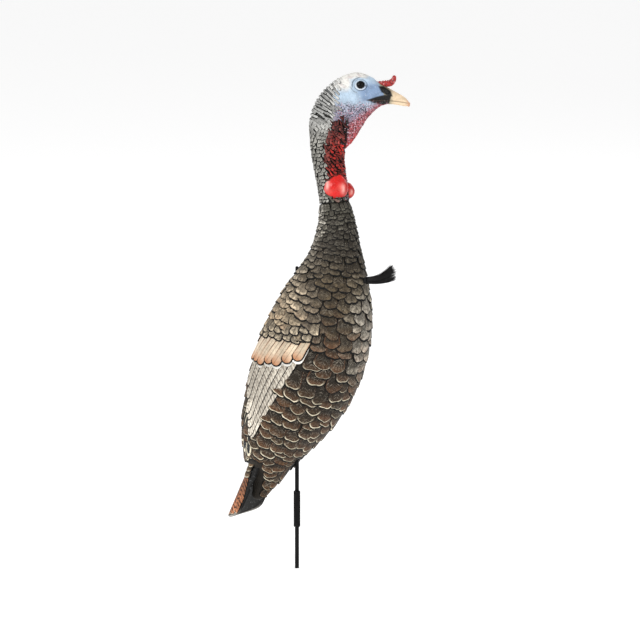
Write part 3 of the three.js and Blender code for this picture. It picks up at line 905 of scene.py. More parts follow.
FACE_BLUE = (126, 148, 178)
FACE_PALE = (176, 196, 214)
CROWN = (222, 220, 214)
NAPE_GREY = (176, 176, 172)
HORN = (226, 202, 170)
CERE = (9, 9, 9)
SKIN_RED = (176, 42, 38)
PURPLE = (134, 124, 144)
DEWLAP = (164, 88, 96)


def in_head(points):
    """Points as the head's own places in mm, before it turns."""
    return ((points - SEAM) @ HEAD_TURN + SEAM) / MM


def from_head(places):
    return (np.asarray(places, float) * MM - SEAM) @ HEAD_TURN.T + SEAM


EYE = in_head(np.array([middle("eye_right")]))[0, [0, 2]]


def off_line(x, z, start, end):
    """How far past a line, to its left looking from start to end, places are."""
    dx, dz = end[0] - start[0], end[1] - start[1]
    return ((x - start[0]) * -dz + (z - start[1]) * dx) / math.hypot(dx, dz) * -1


def hump(x, width):
    return np.exp(-((x / width) ** 2))


def lumps(places, size, seed):
    """Smooth lumps of about a size in mm, between -1 and 1."""
    draw = np.random.default_rng(seed)
    total = np.zeros(len(places))
    for _ in range(9):
        direction = draw.normal(size=3)
        direction /= np.linalg.norm(direction)
        wave = size * draw.uniform(0.7, 1.5)
        total += np.sin(places @ direction * 2 * math.pi / wave + draw.uniform(0, 6.28))
    return total / 4.5


class Coats:
    """Colours laid over each other, a value for each place."""

    def __init__(self, colour, places):
        self.colour = np.tile(linear(*colour), (len(places), 1))

    def lay(self, colour, weight):
        weight = np.clip(weight, 0, 1)[:, None]
        self.colour = self.colour * (1 - weight) + linear(*colour) * weight


def inside(x, z, corners, soft=1.2):
    """1 within a convex outline given clockwise, fading to 0 over a soft edge."""
    depth = np.full(x.shape, 1e9)
    for start, end in zip(corners, corners[1:] + corners[:1]):
        depth = np.minimum(depth, off_line(x, z, start, end))
    return smooth(depth, -soft / 2, soft / 2)


# Outlines on the side of the face, each clockwise as seen from the bird's right.
GAPE = [
    (110.5, 735.5), (126, 739.5), (138, 743.5), (150, 742), (147, 729.5), (137.5, 727.5),
    (124, 730),
]
CERE_BAND = [(130, 756.5), (138, 757), (149, 749), (152, 741), (146, 740), (135, 747.5)]
NOSTRIL = [(139, 750), (143, 750.5), (147, 747), (146, 744.5), (141, 746)]


def head_colours(places):
    """The painted face: its colour, and its gloss, wrinkles and speckle as marks."""
    x, _, z = places.T
    wander = 2.2 * lumps(places, 14, 5)
    eye = eye_distance(x, z) + 0.22 * wander
    face = Coats(FACE_PALE, places)
    blue = smooth(x + wander, 92, 108) * smooth(z + wander, 766, 756) * smooth(z, 727, 738)
    face.lay(FACE_BLUE, blue)
    lower = smooth(z + wander, 736, 716)
    face.lay(PURPLE, lower * 0.85)
    face.lay(DEWLAP, smooth(z + wander - 0.75 * (x - 100), 716, 700) * smooth(x, 76, 82))
    throat = smooth(np.abs(off_line(x, z, (82, 660), (146, 727))) + 0.4 * wander, 7, 2)
    face.lay((196, 52, 50), 0.85 * throat * smooth(x, 138, 118) * smooth(x, 76, 80))
    crown = smooth(z + wander - 0.12 * (x - 100), 765, 772)
    crown = np.maximum(crown, smooth(x + wander, 92, 82) * smooth(z, 744, 756))
    face.lay(CROWN, crown)
    face.lay((178, 160, 160), 0.5 * crown * smooth(lumps(places, 7, 8), 0.1, 0.9))
    face.lay((120, 124, 128), 0.45 * crown * smooth(lumps(places, 5, 9), 0.35, 1.0))
    face.lay(NAPE_GREY, smooth(x + wander, 66, 58))
    face.lay(SKIN_RED, smooth(z + wander, 704, 690) * smooth(x, 84, 79))
    # Under the red bumps and the hackles, and low on the neck, the skin is near black: painted shade in the
    # gaps between them.
    face.lay((30, 24, 23), 0.9 * smooth(z + wander, 706, 694) * smooth(x, 82, 79))
    nape = smooth(x, 62, 57)
    face.lay((34, 33, 30), smooth(z, 596, 590) + nape)
    face.lay((96, 98, 98), 0.8 * nape * smooth(z + wander, 715, 740))
    # The crease between the neck and the dewlap is painted near black: painted shade in its groove.
    crease = hump(x - 80.5 - 0.10 * (z - 684), 3.0) * smooth(z, 657, 664) * smooth(z, 712, 698)
    face.lay((20, 15, 16), 1.5 * crease)
    # The pale lids round the eye, and the dark line outside them: painted shade under the upper lid.
    behind = np.arctan2(z - EYE[1], EYE[0] - x)
    lid = 0.45 + 0.4 * np.cos(behind + 0.9)
    face.lay((222, 228, 234), lid * smooth(eye, 9.0, 7.6))
    face.lay((40, 44, 52), 0.8 * smooth(eye, 7.6, 6.9) * smooth(z, EYE[1] - 2, EYE[1] + 3))
    fold = hump(eye - 12.4, 0.9) * smooth(np.abs(behind - 0.6), 1.1, 0.6)
    fold = np.maximum(fold, (0.45 + 0.45 * smooth(z, EYE[1], EYE[1] - 5)) * hump(eye - 9.3, 0.7))
    fold = np.maximum(fold, 0.6 * hump(eye - 14.6, 0.9) * smooth(np.abs(behind + 0.7), 0.7, 0.3))
    face.lay((44, 50, 60), 0.9 * fold)
    corner = np.exp(-(((x - EYE[0] - 7.6) / 2.2) ** 2) - ((z - EYE[1] + 1.2) / 1.1) ** 2)
    face.lay((26, 28, 34), 0.8 * corner)
    # The bill: black at its root and along the gape, then greenish, then horn.
    bill = smooth(x + 0.5 * (z - 740), 139, 142)
    horn = Coats(HORN, places)
    horn.lay((128, 128, 108), smooth(x, 156, 146) * 0.85)
    horn.lay((190, 128, 92), smooth(x, 171, 178) * 0.7)
    face.colour = face.colour * (1 - bill[:, None]) + horn.colour * bill[:, None]
    gape = inside(x, z + 0.25 * wander, GAPE, 2.4)
    cere = inside(x, z + 0.25 * wander, CERE_BAND, 2.4)
    face.lay(CERE, np.maximum(gape, cere))
    face.lay((8, 8, 8), inside(x, z, NOSTRIL, 1.2))
    # Painted shade along the groove of the mouth line.
    mouth = hump(z - mouth_line(x), 0.8) * smooth(x, 110, 114) * smooth(x, 178, 172)
    face.lay((70, 56, 44), 0.6 * mouth)
    gloss = np.clip(0.35 * bill + 0.3 * np.maximum(gape, cere), 0, 1)
    speckle = smooth(z + wander, 738, 722) * smooth(x, 60, 70) * (1 - bill)
    wrinkle = (1 - bill) * (1 - np.maximum(gape, cere))
    return face.colour, np.stack([gloss, wrinkle, speckle], -1)


def mouth_line(x):
    return 734.6 - 0.0018 * np.clip(x - 128, 0, None) ** 2


def eye_distance(x, z):
    """The distance from the eye, in mm, less along the eye than across it."""
    return np.hypot(0.93 * (x - EYE[0]), 1.12 * (z - EYE[1]))


def head_relief(places):
    """How far the head's skin is raised, in mm."""
    x, y, z = places.T
    eye = eye_distance(x, z)
    bill = smooth(x + 0.5 * (z - 740), 139, 142)
    raised = 0.8 * hump(eye - 7.9, 1.1) - 0.6 * hump(eye - 10.4, 0.9)
    raised += 0.45 * hump(eye - 12.0, 1.2) - 1.4 * smooth(eye, 6.8, 5.8)
    brow = 0.9 * hump(z - EYE[1] - 9.5 + 0.14 * (x - EYE[0]), 2.4)
    raised += brow * smooth(np.abs(x - EYE[0]), 24, 12)
    side = smooth(np.abs(y), 1.0, 4.0)
    crease = hump(x - 80.5 - 0.10 * (z - 684), 2.4) * smooth(z, 655, 664) * smooth(z, 712, 700)
    raised -= 3.2 * crease * side
    mouth = hump(z - mouth_line(x), 0.9) * smooth(x, 109, 115) * smooth(x, 179, 170)
    raised -= 1.0 * mouth * smooth(np.abs(y), 0.5, 2.0)
    raised -= 0.7 * inside(x, z, NOSTRIL, 1.6) * smooth(np.abs(y), 0.5, 2)
    raised += 0.35 * bill - 0.5 * hump(x + 0.5 * (z - 740) - 139, 1.1)
    rough = (1 - bill) * smooth(eye, 6, 9)
    raised += rough * (0.26 * lumps(places, 5.5, 1) + 0.16 * lumps(places, 2.6, 2))
    coarse = smooth(z, 735, 715) * (1 - bill)
    raised += coarse * (0.42 * np.abs(lumps(places * np.array([1, 1, 0.8]), 4.0, 3)))
    return raised


def head_paint():
    """Bare, wrinkled skin and bill. tint is its colour; marks are gloss, wrinkles and speckle."""
    paint = Paint("head_skin_paint", roughness=0.5)
    tint = paint.attribute("tint")
    gloss, wrinkle, speckle = paint.split(paint.attribute("marks"))
    place = paint.place()
    fine = paint.noise(place, 420.0, 4.0, 0.6)
    broad = paint.noise(place, 120.0, 4.0, 0.6)
    spots = paint.cells(place, 520.0)
    kind = paint.cells(place, 520.0, output="Color")
    pick, second, _ = paint.split(kind)
    paint.colour = tint
    paint.coat(paint.times(paint.step(broad, 0.56, 0.4), 0.32), paint.mix(0.5, tint, DARK))
    pale = paint.times(paint.times(paint.step(fine, 0.56, 0.74), 0.35), wrinkle)
    paint.coat(pale, tuple(linear(236, 238, 240)))
    dot = paint.times(paint.step(spots, 0.5, 0.3), speckle)
    red_dot = paint.times(paint.times(dot, paint.step(pick, 0.62, 0.66)), 0.7)
    paint.coat(red_dot, tuple(linear(170, 48, 50)))
    pale_dot = paint.times(paint.times(dot, paint.step(second, 0.7, 0.74)), 0.6)
    paint.coat(pale_dot, tuple(linear(206, 208, 222)))
    # Painted shade: black in the low gaps between the speckled skin's bumps.
    gap = paint.times(paint.step(spots, 0.48, 0.8), speckle)
    paint.coat(paint.times(gap, 0.88), BLACK)
    paint.to("Base Color", paint.colour)
    rough = paint.minus(0.52, paint.times(gloss, 0.5))
    paint.to("Roughness", paint.plus(rough, paint.times(fine, 0.1)))
    height = paint.times(paint.plus(fine, broad), wrinkle)
    cell = paint.times(paint.times(spots, speckle), -1.0)
    paint.to("Normal", paint.bump(cell, 0.5 * MM, paint.bump(height, 0.45 * MM)))
    return paint.material


def head_skin():
    """The head's closed skin, with the neck's bore in its underside."""
    mesher = Mesher()
    s = np.linspace(0, head.length, 430)
    around = 300
    a = np.linspace(-np.pi, np.pi, around, endpoint=False)
    flat = head.at(s[:, None], a[None])
    places = in_head(flat.reshape(-1, 3))
    normals = head.normal(s[:, None], a[None])
    # The neck is under its hackles and bumps; the face and the bill are bare.
    under = smooth(places[:, 2], 704, 694) * smooth(places[:, 0], 82, 78)
    under = np.maximum(under, smooth(places[:, 0], 62, 56))
    raised = head_relief(places) * (1 - under) - 1.2 * under
    outside = flat + normals * raised.reshape(len(s), around, 1) * MM
    mouth = outside[0] + np.array(NECK_AXIS) * GAP
    bill = from_head([BILL_POINT])[0] - outside[-1].mean(0)
    caps = dome(outside[-1], bill, (0.5, 1.0, 1.5))
    rings = np.array([*bore(a, 1, HEAD_TURN), mouth, *outside[1:], *caps])
    points = rings.reshape(-1, 3)
    colour, marks = head_colours(in_head(points))
    mesher.grid(rings, wrap=True, tint=colour, marks=marks)
    return mesher


def neck_bumps():
    """The nape's hackles, the scales down the back of the neck and the throat's red bumps."""
    tracts = {"hackles": Mesher(), "caruncles": Mesher()}
    s = 4.5
    row = 0
    while s < 205:
        nape = smooth(s, 75, 120)
        pitch = 5.4 - 0.9 * nape
        girth = float(np.mean([head.girth(s * MM, k * DEG) for k in range(0, 360, 30)])) / MM
        count = round(2 * math.pi * girth / (6.4 - 1.0 * nape))
        for k in range(count):
            degrees = (k + 0.5 * (row % 2)) * 360 / count + 2.5 * rng.normal()
            degrees = (degrees + 180) % 360 - 180
            place = s + 0.7 * rng.normal()
            draw = rng.normal()
            x, _, z = in_head(head.at(np.array([place * MM]), np.array([degrees * DEG])))[0]
            stray = 4.5 * abs(draw) if z > 716 else 0
            if z > 705:
                back = x < 61.5 + 0.12 * (z - 705) + stray
            else:
                back = abs(degrees) > 104 - 0.12 * (z - 640)
            red = not back and x < 79 and z < 701 + 7 * draw
            draws = rng.random(4)
            if not (back or red):
                continue
            side = 1 if degrees > 0 else -1
            if back:
                high = smooth(z, 660, 715)
                if z > 702 and (k + row) % 2:
                    continue
                length = 9.0 + 9.0 * high
                slant = math.radians(14 + 72 * high + 14 * (draws[0] - 0.5))
                grey = np.array((212, 209, 199)) * (1 - high) + np.array((252, 252, 248)) * high
                grey = grey * (0.7 + 0.3 * draws[1])
                look = Look(grey, 0, 1.25 - 0.85 * high, mottled=0.35 - 0.2 * high, sides=1.0)
                width, rise = 8.0 - 4.6 * high, 0.8 + 0.9 * high
            else:
                length = 9.5 + 5.0 * draws[0]
                slant = math.radians(42 + 60 * (draws[2] - 0.5))
                edge = smooth(abs(degrees), 85, 104)
                tint = np.array((230, 52, 44)) * (0.5 + 0.55 * draws[1])
                tint = tint * (1 - 0.45 * edge) + 40 * edge
                dusk = smooth(z, 655, 695) * (0.5 + 0.5 * draws[0])
                tint = tint * (1 - dusk) + np.array((96, 46, 48)) * dusk
                if z < 592:
                    tint = np.array(NECK_DARK) * (0.8 + 0.3 * draws[1])
                if draws[3] > 0.8:
                    tint = tint * 0.6 + 0.4 * np.array((228, 150, 140))
                look = Look(tint, 0, 1.15, mottled=0.35, sides=1.0)
                width, rise = 4.4 + 2.0 * draws[3], 2.2
            reach = length * math.sin(slant) / girth / DEG
            root = ((place + length * math.cos(slant) / 2) * MM, (degrees + side * reach / 2) * DEG)
            # Every tip stops short of the seam, so the head turns clear of the body's feathers.
            low_end = max(place - length * math.cos(slant) / 2, SEAM_GAP)
            tip = (low_end * MM, (degrees - side * reach / 2) * DEG)
            mesher = tracts["hackles" if back else "caruncles"]
            feather(
                mesher, head, root, tip, width, look, (-1.1, 0.1), rise, cap=0.9, square=2.0,
                narrow=0.7, sink=1.3, grid=(7, 9),
            )
        s += pitch
        row += 1
    return tracts


def blob(mesher, centre, size, seed, colour, rows=64, columns=96):
    """A lumpy ellipsoid in the head's own place and size, in mm."""
    v = np.linspace(0, math.pi, rows)[:, None]
    u = np.linspace(0, 2 * math.pi, columns, endpoint=False)[None]
    unit = np.stack([np.sin(v) * np.cos(u), np.sin(v) * np.sin(u), np.cos(v) * np.ones_like(u)], -1)
    outward = unit.reshape(-1, 3)
    places = np.array(centre) + outward * np.array(size)
    top = smooth(places[:, 2], centre[2], centre[2] + size[2])
    places[:, 1] = centre[1] + (places[:, 1] - centre[1]) * (1 - 0.26 * top)
    places[:, 0] = centre[0] + (places[:, 0] - centre[0]) * (1 - 0.24 * top)
    swell = 0.4 * lumps(places, 19, seed) + 0.08 * lumps(places, 6, seed + 1)
    cleft = hump(places[:, 1] - centre[1] - 0.25 * (places[:, 2] - centre[2]), 1.6)
    swell = swell - 0.5 * cleft * smooth(places[:, 2], centre[2] - 4, centre[2] + 10)
    places = places + outward * swell[:, None]
    skin = Coats(colour, places)
    across = (places[:, 0] - centre[0]) / size[0]
    height = (places[:, 2] - centre[2]) / size[2]
    # Painted highlights: two soft pale pink patches on each lobe.
    left = np.exp(-(((across + 0.72) / 0.17) ** 2) - ((height - 0.2) / 0.42) ** 2)
    right = np.exp(-(((across - 0.58) / 0.17) ** 2) - ((height + 0.12) / 0.3) ** 2)
    painted_highlight = (left + right) * (0.85 + 0.35 * lumps(places, 7, seed + 3))
    skin.lay((255, 206, 196), 0.85 * painted_highlight)
    # Darker red along its lower front edge, and painted shade darkening its underside.
    skin.lay((150, 14, 18), 0.55 * hump(across - 0.86, 0.1) * smooth(height, -0.9, -0.2))
    skin.lay((236, 110, 96), 0.5 * smooth(lumps(places, 22, seed + 2), 0.1, 1.0))
    low = smooth(places[:, 2], centre[2] - 0.55 * size[2], centre[2] - 0.98 * size[2])
    skin.lay((112, 14, 16), 0.8 * low)
    marks = np.tile([0.6, 0.12, 0.0], (len(places), 1))
    grid = from_head(places).reshape(rows, columns, 3)
    mesher.grid(grid, wrap=True, flip=True, tint=skin.colour, marks=marks)


def finger(mesher, path, radii, colour, wrinkles, rows=90, columns=36):
    """A wrinkled finger of skin along a path in the head's plane of symmetry."""
    line = catmull(path, rows)
    radius = np.interp(np.linspace(0, 1, rows), np.linspace(0, 1, len(radii)), radii)
    radius[-4:] *= [0.93, 0.78, 0.5, 0.05]
    ahead = np.gradient(line, axis=0)
    ahead /= np.linalg.norm(ahead, axis=1, keepdims=True)
    over = np.stack([-ahead[:, 1], ahead[:, 0]], -1)
    u = np.linspace(0, 2 * math.pi, columns, endpoint=False)
    waves = np.sin(np.linspace(0, wrinkles * 2 * math.pi, rows))
    fold = 1 + 0.12 * waves[:, None] * np.cos(u / 2) ** 2
    r = radius[:, None] * fold
    x = line[:, :1] + over[:, :1] * r * np.cos(u)
    z = line[:, 1:] + over[:, 1:] * r * np.cos(u)
    places = np.stack([x, r * np.sin(u), z], -1)
    flat = places.reshape(-1, 3)
    skin = Coats(colour, flat)
    skin.lay((214, 150, 146), smooth(lumps(flat, 5, 31), 0.2, 1.0) * 0.8)
    # The dark red patches are painted shade for its wrinkles.
    skin.lay((60, 18, 22), smooth(lumps(flat, 4, 33), 0.35, 1.0) * 0.8)
    marks = np.tile([0.4, 0.8, 0.0], (len(flat), 1))
    mesher.grid(from_head(flat).reshape(rows, columns, 3), wrap=True, tint=skin.colour, marks=marks)


skin_paint = head_paint()
bump_paint = feather_paint("neck_bumps", roughness=0.5, fibres=0.6, barb_depth=0.05 * MM)
head_skin().build("head_skin", skin_paint, "head", "head_skin", ["head_shell"])
for name, mesher in neck_bumps().items():
    mesher.build(f"neck_{name}", bump_paint, "head", "head_skin")
lobes = Mesher()
blob(lobes, (67, -13, 600.5), (19.0, 13.5, 21.5), 41, (206, 32, 28))
blob(lobes, (84.5, 6, 593.5), (11.5, 11, 13), 51, (188, 26, 24))
lobes.build("throat_lobes", skin_paint, "head", "head_skin")
# The snood, from its root over the bill to its tip, and its radii, in mm.
SNOOD_PATH = [(126, 759.5), (140, 759.8), (148.5, 761.2), (153, 766), (155, 773)]
SNOOD_RADII = [3.6, 5.0, 5.2, 4.2, 2.5]
wattle = Mesher()
finger(wattle, SNOOD_PATH, SNOOD_RADII, (164, 42, 42), 12)
wattle.build("snood_skin", skin_paint, "head", "snood_rubber", ["snood"])

# -------------------------------------------------------------------- the tail


class TailFace:
    """One face of the folded tail. A place is (s, a): along it and across it, in metres."""

    CURL = 23 * MM
    SHARPNESS = 2.6
    ROOT = (-58, 0, 188)
    TIP = (-113.5, 0, 73.5)
    # The share of its length where it reaches its full width, and where its end starts to round.
    FULL_FROM = 0.6
    ROUND_FROM = 0.745

    def __init__(self, face):
        self.face = face
        low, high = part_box("tail_fan")
        self.half = (high.y - low.y) / 2
        self.root = np.array(self.ROOT) * MM
        tip = np.array(self.TIP) * MM
        self.length = np.linalg.norm(tip - self.root)
        self.along = (tip - self.root) / self.length
        self.front = np.array([-self.along[2], 0, self.along[0]])

    def half_at(self, s):
        """Half the tail's width."""
        t = np.clip(s / self.length, 0, 1)
        past = np.clip((t - self.ROUND_FROM) / 0.255, 0, 1)
        widening = 0.9 + 0.1 * np.minimum(1, t / self.FULL_FROM)
        return self.half * widening * np.sqrt(1 - past**2 * 0.985)

    def at(self, s, a, lift=0.0):
        s, a = np.broadcast_arrays(np.asarray(s, float), np.asarray(a, float))
        s = np.clip(s, 0, self.length)
        c = np.clip(a / self.half, -1, 1)
        fold = self.CURL * np.abs(c) ** self.SHARPNESS
        thick = (5.0 - 3.4 * s / self.length) * MM
        flat = self.root + s[..., None] * self.along
        flat = flat + (fold + self.face * thick)[..., None] * self.front
        flat = flat + a[..., None] * np.array([0, 1, 0]) * (1 - 0.05 * np.abs(c[..., None]) ** 5)
        return flat + self.normal(s, a) * np.broadcast_to(lift, s.shape)[..., None]

    def normal(self, s, a):
        c = np.clip(a / self.half, -1, 1)
        steep = self.SHARPNESS * self.CURL * np.abs(c) ** (self.SHARPNESS - 1)
        slope = steep * np.sign(c) / self.half
        out = self.front - slope[..., None] * np.array([0, 1, 0])
        return self.face * out / np.linalg.norm(out, axis=-1, keepdims=True)

    def girth(self, s, a):
        return 1.0


def tail_blade(mesher, dorsal, ventral):
    """The tail's smooth underside and the core between its faces, closed round its rim."""
    rows, columns = 60, 48
    s = np.linspace(0, dorsal.length, rows)[:, None]
    c = np.sin(np.linspace(-1, 1, columns) * math.pi / 2)[None]
    a = c * dorsal.half_at(s) * 0.985
    under = ventral.at(s + 0 * a, a, -0.1 * MM)
    over = dorsal.at(s + 0 * a, a, -0.6 * MM)
    rings = np.concatenate([under, over[:, ::-1]], 1)
    cap0, cap1 = rings[:1].mean(1, keepdims=True), rings[-1:].mean(1, keepdims=True)
    width = rings.shape[1]
    rings = np.concatenate([np.tile(cap0, (1, width, 1)), rings, np.tile(cap1, (1, width, 1))])
    edge = np.minimum(dorsal.half_at(s) - np.abs(a), dorsal.length - s) / MM
    edge = np.concatenate([edge, edge[:, ::-1]], 1)
    edge = np.concatenate([edge[:1], edge, edge[-1:]]).ravel()
    near_tip = np.concatenate([s[:1], s, s[-1:]]).repeat(width, 1).ravel() / dorsal.length
    skin = Coats((36, 36, 35), edge)
    skin.lay((12, 11, 10), smooth(edge, 8, 3))
    skin.lay((168, 164, 156), smooth(edge, 3.4, 1.2) * smooth(near_tip, 0.72, 0.92))
    mesher.grid(rings, wrap=True, tint=skin.colour, marks=np.tile([0.25, 0.4, 0.0], (len(edge), 1)))


def rectrices():
    """The tail's barred feathers, over its back, and the coverts at its root."""
    mesher = Mesher()
    face = TailFace(-1)
    for i in (5, 4, 3, 2, 1, 0):
        for side in (1, -1):
            t = (i + 0.5) / 6
            s1 = face.length * (1 - 0.20 * t**2.5)
            across = face.half_at(np.array(s1 - 6 * MM)) * t
            root, tip = (8 * MM, side * 24 * MM * t), (s1, side * float(across))
            look = Look((206, 134, 94), 1.0, 0.4, 1.0, 0.7, mottled=0.6)
            lifts = (-0.3, 0.2 + 0.12 * (5 - i))
            feather(mesher, face, root, tip, 15, look, lifts, 0.4, cap=0.9, sink=0.7, grid=(9, 30))
    for row in range(4):
        count = 5 - row % 2
        for k in range(count):
            a = ((k + 0.5) / count - 0.5) * 64 * MM
            s0 = (24 - 9 * row) * MM
            look = Look((122, 98, 72), 1.4, 1.2, 0.0, 0.8)
            root, tip = (s0, a * 0.9), (s0 + 26 * MM, a)
            lifts = (-0.5, 1.6 + 0.5 * row)
            feather(mesher, face, root, tip, 19, look, lifts, 0.6, cap=0.7, rough=0.07)
    return mesher


tail_paint = feather_paint("tail_paint")
blade = Mesher()
tail_blade(blade, TailFace(-1), TailFace(1))
blade.build("tail_blade", skin_paint, "decoy", "tail_feathers", ["tail_fan"])
rectrices().build("tail_rectrices", tail_paint, "decoy", "tail_feathers")


# ------------------------------------------------------- the beard and the eyes

BRISTLES = 230
BRISTLE_RINGS = 14
BRISTLE_SIDES = 5
# Where the tuft leaves the breast, and how it runs out and up from there, in mm.
BEARD_START = (116.5, 0, 457)
BEARD_PATH = [(3.5, 0.5), (22, 2.8), (38, 9.2), (54, 19)]


def beard_strands():
    """A tuft of bristles that leaves its ferrule in a bundle, rises and spreads."""
    start = np.array(BEARD_START) * MM
    path = catmull(BEARD_PATH, BRISTLE_RINGS) * MM
    mesher = Mesher()
    sides = BRISTLE_SIDES
    for _ in range(BRISTLES):
        angle, far = rng.random() * 2 * math.pi, math.sqrt(rng.random())
        up, aside = far * math.sin(angle), far * math.cos(angle)
        stray = rng.normal(size=2) * 0.06
        length = 1 - 0.11 * rng.random() ** 2 - 0.05 * abs(up)
        t = np.linspace(0, length, BRISTLE_RINGS)
        whole = np.linspace(0, 1, BRISTLE_RINGS)
        line = np.stack([np.interp(t, whole, path[:, k]) for k in (0, 1)], -1)
        spread = (5.6 + 7.6 * t**1.4) * MM
        thin = (3.2 + 1.2 * t) * MM
        x = start[0] + line[:, 0] - spread * up * 0.35 * t
        y = thin * (aside + stray[0] * t * 3)
        z = start[2] + line[:, 1] + spread * (up + stray[1] * t * 2)
        centre = np.stack([x, y, z], -1)
        u = np.linspace(0, 2 * math.pi, sides, endpoint=False)
        radius = (0.42 - 0.2 * t / length) * MM
        radius[-1] *= 0.3
        ring = np.stack([-0.4 * np.cos(u), np.sin(u), 0.9 * np.cos(u)], -1)
        points = centre[:, None] + ring[None] * radius[:, None, None]
        mesher.grid(points, wrap=True)
        first = mesher.count - BRISTLE_RINGS * sides
        mesher.faces.append([first + k for k in range(sides)])
        mesher.faces.append([mesher.count - 1 - k for k in range(sides)])
    return mesher


def eyeball(name):
    low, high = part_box(name)
    centre = np.array((low + high) / 2)
    radius = (high.z - low.z) / 2
    v = np.linspace(0, math.pi, 40)[:, None]
    u = np.linspace(0, 2 * math.pi, 56, endpoint=False)[None]
    unit = [np.sin(v) * np.cos(u), 0.8 * np.sin(v) * np.sin(u), np.cos(v) * np.ones_like(u)]
    unit = np.stack(unit, -1)
    mesher = Mesher()
    mesher.grid(centre + (unit * radius) @ HEAD_TURN.T, wrap=True, flip=True)
    return mesher


bristle = plain_paint("bristle_paint", (15, 14, 15), 0.42, grain=900, depth=0.1 * MM)
beard_strands().build("beard_strands", bristle, "beard", "bristle", ["beard_bristles"])
gloss_black = plain_paint("eye_paint", (7, 5, 4), 0.22, grain=200, depth=0.01 * MM, Specular_IOR_Level=0.12)
for side in ("right", "left"):
    eyeball(f"eye_{side}").build(f"eyeball_{side}", gloss_black, "head", "eye_gloss", [f"eye_{side}"])


# ------------------------------------------------------------------- the stake


def steel_paint():
    """Black paint over steel, rubbed through to bright metal in patches."""
    paint = Paint("black_enamel", roughness=0.5, Specular_IOR_Level=0.1)
    place = paint.place()
    worn = paint.noise(place, 90.0, 5.0, 0.7)
    fine = paint.noise(place, 600.0, 3.0)
    dark, light = tuple(linear(6, 6, 7)), tuple(linear(18, 18, 18))
    colour = paint.mix(paint.step(worn, 0.35, 0.65), dark, light)
    colour = paint.mix(paint.step(worn, 0.70, 0.76), colour, tuple(linear(92, 88, 84)))
    paint.to("Base Color", colour)
    paint.to("Metallic", paint.step(worn, 0.70, 0.76))
    paint.to("Roughness", paint.plus(paint.times(worn, 0.3), 0.35))
    paint.to("Normal", paint.bump(fine, 0.05 * MM))
    return paint.material


def rod(profile, segments=48):
    """A solid turned about Z from (radius, height) pairs in mm, closed at both ends."""
    low, high = profile[0], profile[-1]
    mesher = Mesher()
    mesher.grid(lathe(np.array([(0, low[1]), *profile, (0, high[1])]) * MM, segments), wrap=True)
    return mesher


def heights(node):
    low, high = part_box(node)
    return (high.x - low.x) / 2 / MM, low.z / MM, high.z / MM


# The turning pin on top of the upper rod, and the coupler's bore, in mm.
PIN_RADIUS = 2.4
COUPLER_BORE = 3.4

enamel = steel_paint()
radius, low, high = heights("stake_lower_rod")
point = [
    (0.4, low), (radius * 0.5, low + 9), (radius, low + 20),
    (radius, high - 0.5), (radius - 0.5, high),
]
rod(point).build("lower_rod", enamel, "ground_stake", "black_steel", ["stake_lower_rod"])
radius, low, high = heights("stake_upper_rod")
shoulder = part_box("thrust_washer")[0].z / MM
profile = [
    (radius - 0.5, low), (radius, low + 0.5), (radius, shoulder - 0.3),
    (PIN_RADIUS, shoulder - 0.05), (PIN_RADIUS, high - 1), (PIN_RADIUS - 1, high),
]
rod(profile).build("upper_rod", enamel, "upper_rod", "black_steel", ["stake_upper_rod"])


def coupler_sleeve():
    """The coupler: a sleeve with a groove near each end."""
    radius, low, high = heights("stake_coupler")
    inner = COUPLER_BORE
    groove = [
        (inner, low + 0.4), (inner + 0.4, low), (radius - 0.6, low), (radius, low + 0.6),
        (radius, low + 5), (radius - 0.4, low + 5.5), (radius, low + 6), (radius, high - 6),
        (radius - 0.4, high - 5.5), (radius, high - 5), (radius, high - 0.6), (radius - 0.6, high),
        (inner + 0.4, high), (inner, high - 0.4), (inner, low + 0.4),
    ]
    mesher = Mesher()
    mesher.grid(lathe(np.array(groove) * MM), wrap=True)
    return mesher


coupler_sleeve().build("coupler", enamel, "ground_stake", "coupler_sleeve", ["stake_coupler"])

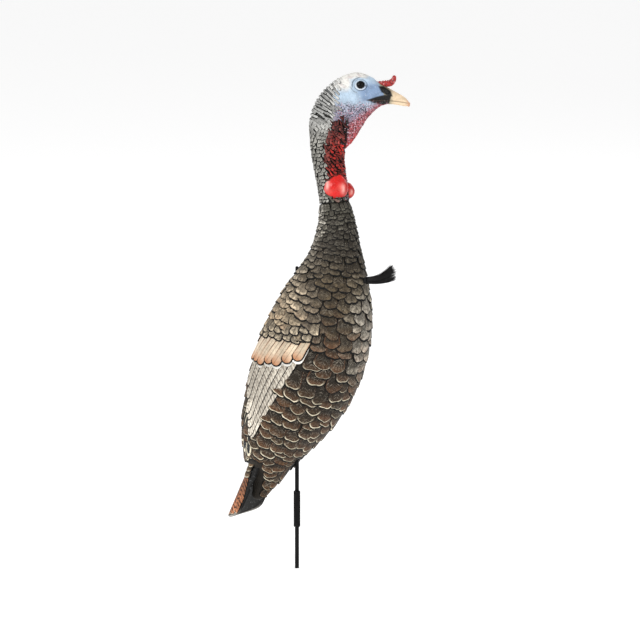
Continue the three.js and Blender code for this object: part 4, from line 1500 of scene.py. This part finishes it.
# The fittings keep their CAD shapes.
nylon = plain_paint("nylon_paint", (228, 224, 212), 0.45, grain=300, depth=0.04 * MM)
rubber = plain_paint("rubber_paint", (20, 20, 20), 0.7, grain=500, depth=0.1 * MM)
liner = plain_paint("liner_paint", (46, 44, 40), 0.5, grain=260, depth=0.08 * MM)
FITTINGS = {
    "coupler_roll_pin": enamel,
    "thrust_washer": nylon,
    "pivot_bushing": nylon,
    "stake_guide_tube": liner,
    "neck_socket": liner,
    "head_socket": liner,
    "neck_peg": nylon,
    "belly_grommet": rubber,
    "back_grommet": rubber,
    "beard_grommet": rubber,
    "beard_ferrule": rubber,
}
for name, material in FITTINGS.items():
    NODES[name].data.materials.clear()
    NODES[name].data.materials.append(material)


# ------------------------------------------------------------------ the floor


FLOOR_REACH = 90.0
SKY = 0.66
# Each lamp's name, place and width in metres, and power in watts. All look at the stake.
LAMPS = [
    ("key", (-1.2, -3.6, 2.4), 1.6, 92),
    ("fill", (3.2, -1.6, 1.6), 2.4, 30),
    ("back", (0.5, 3.4, 2.8), 2.4, 40),
]
LAMP_AIM = (0, 0, 0.4)


def stage():
    mesh = bpy.data.meshes.new("floor")
    r = FLOOR_REACH
    mesh.from_pydata([(-r, -r, 0), (r, -r, 0), (r, r, 0), (-r, r, 0)], [], [(0, 1, 2, 3)])
    paint = Paint("floor", (240, 240, 240), 0.9, Emission_Color=(1, 1, 1, 1), Emission_Strength=0.35)
    mesh.materials.append(paint.material)
    floor = bpy.data.objects.new("floor", mesh)
    bpy.context.collection.objects.link(floor)
    for name, place, size, power in LAMPS:
        data = bpy.data.lights.new(name, "AREA")
        data.size, data.energy = size, power
        lamp = bpy.data.objects.new(name, data)
        lamp.location = place
        lamp.rotation_mode = "QUATERNION"
        lamp.rotation_quaternion = (Vector(LAMP_AIM) - lamp.location).to_track_quat("-Z", "Y")
        bpy.context.collection.objects.link(lamp)
    world = bpy.data.worlds.new("world")
    world.use_nodes = True
    sky = world.node_tree.nodes["Background"]
    sky.inputs["Color"].default_value = (1, 1, 1, 1)
    sky.inputs["Strength"].default_value = SKY
    bpy.context.scene.world = world


stage()
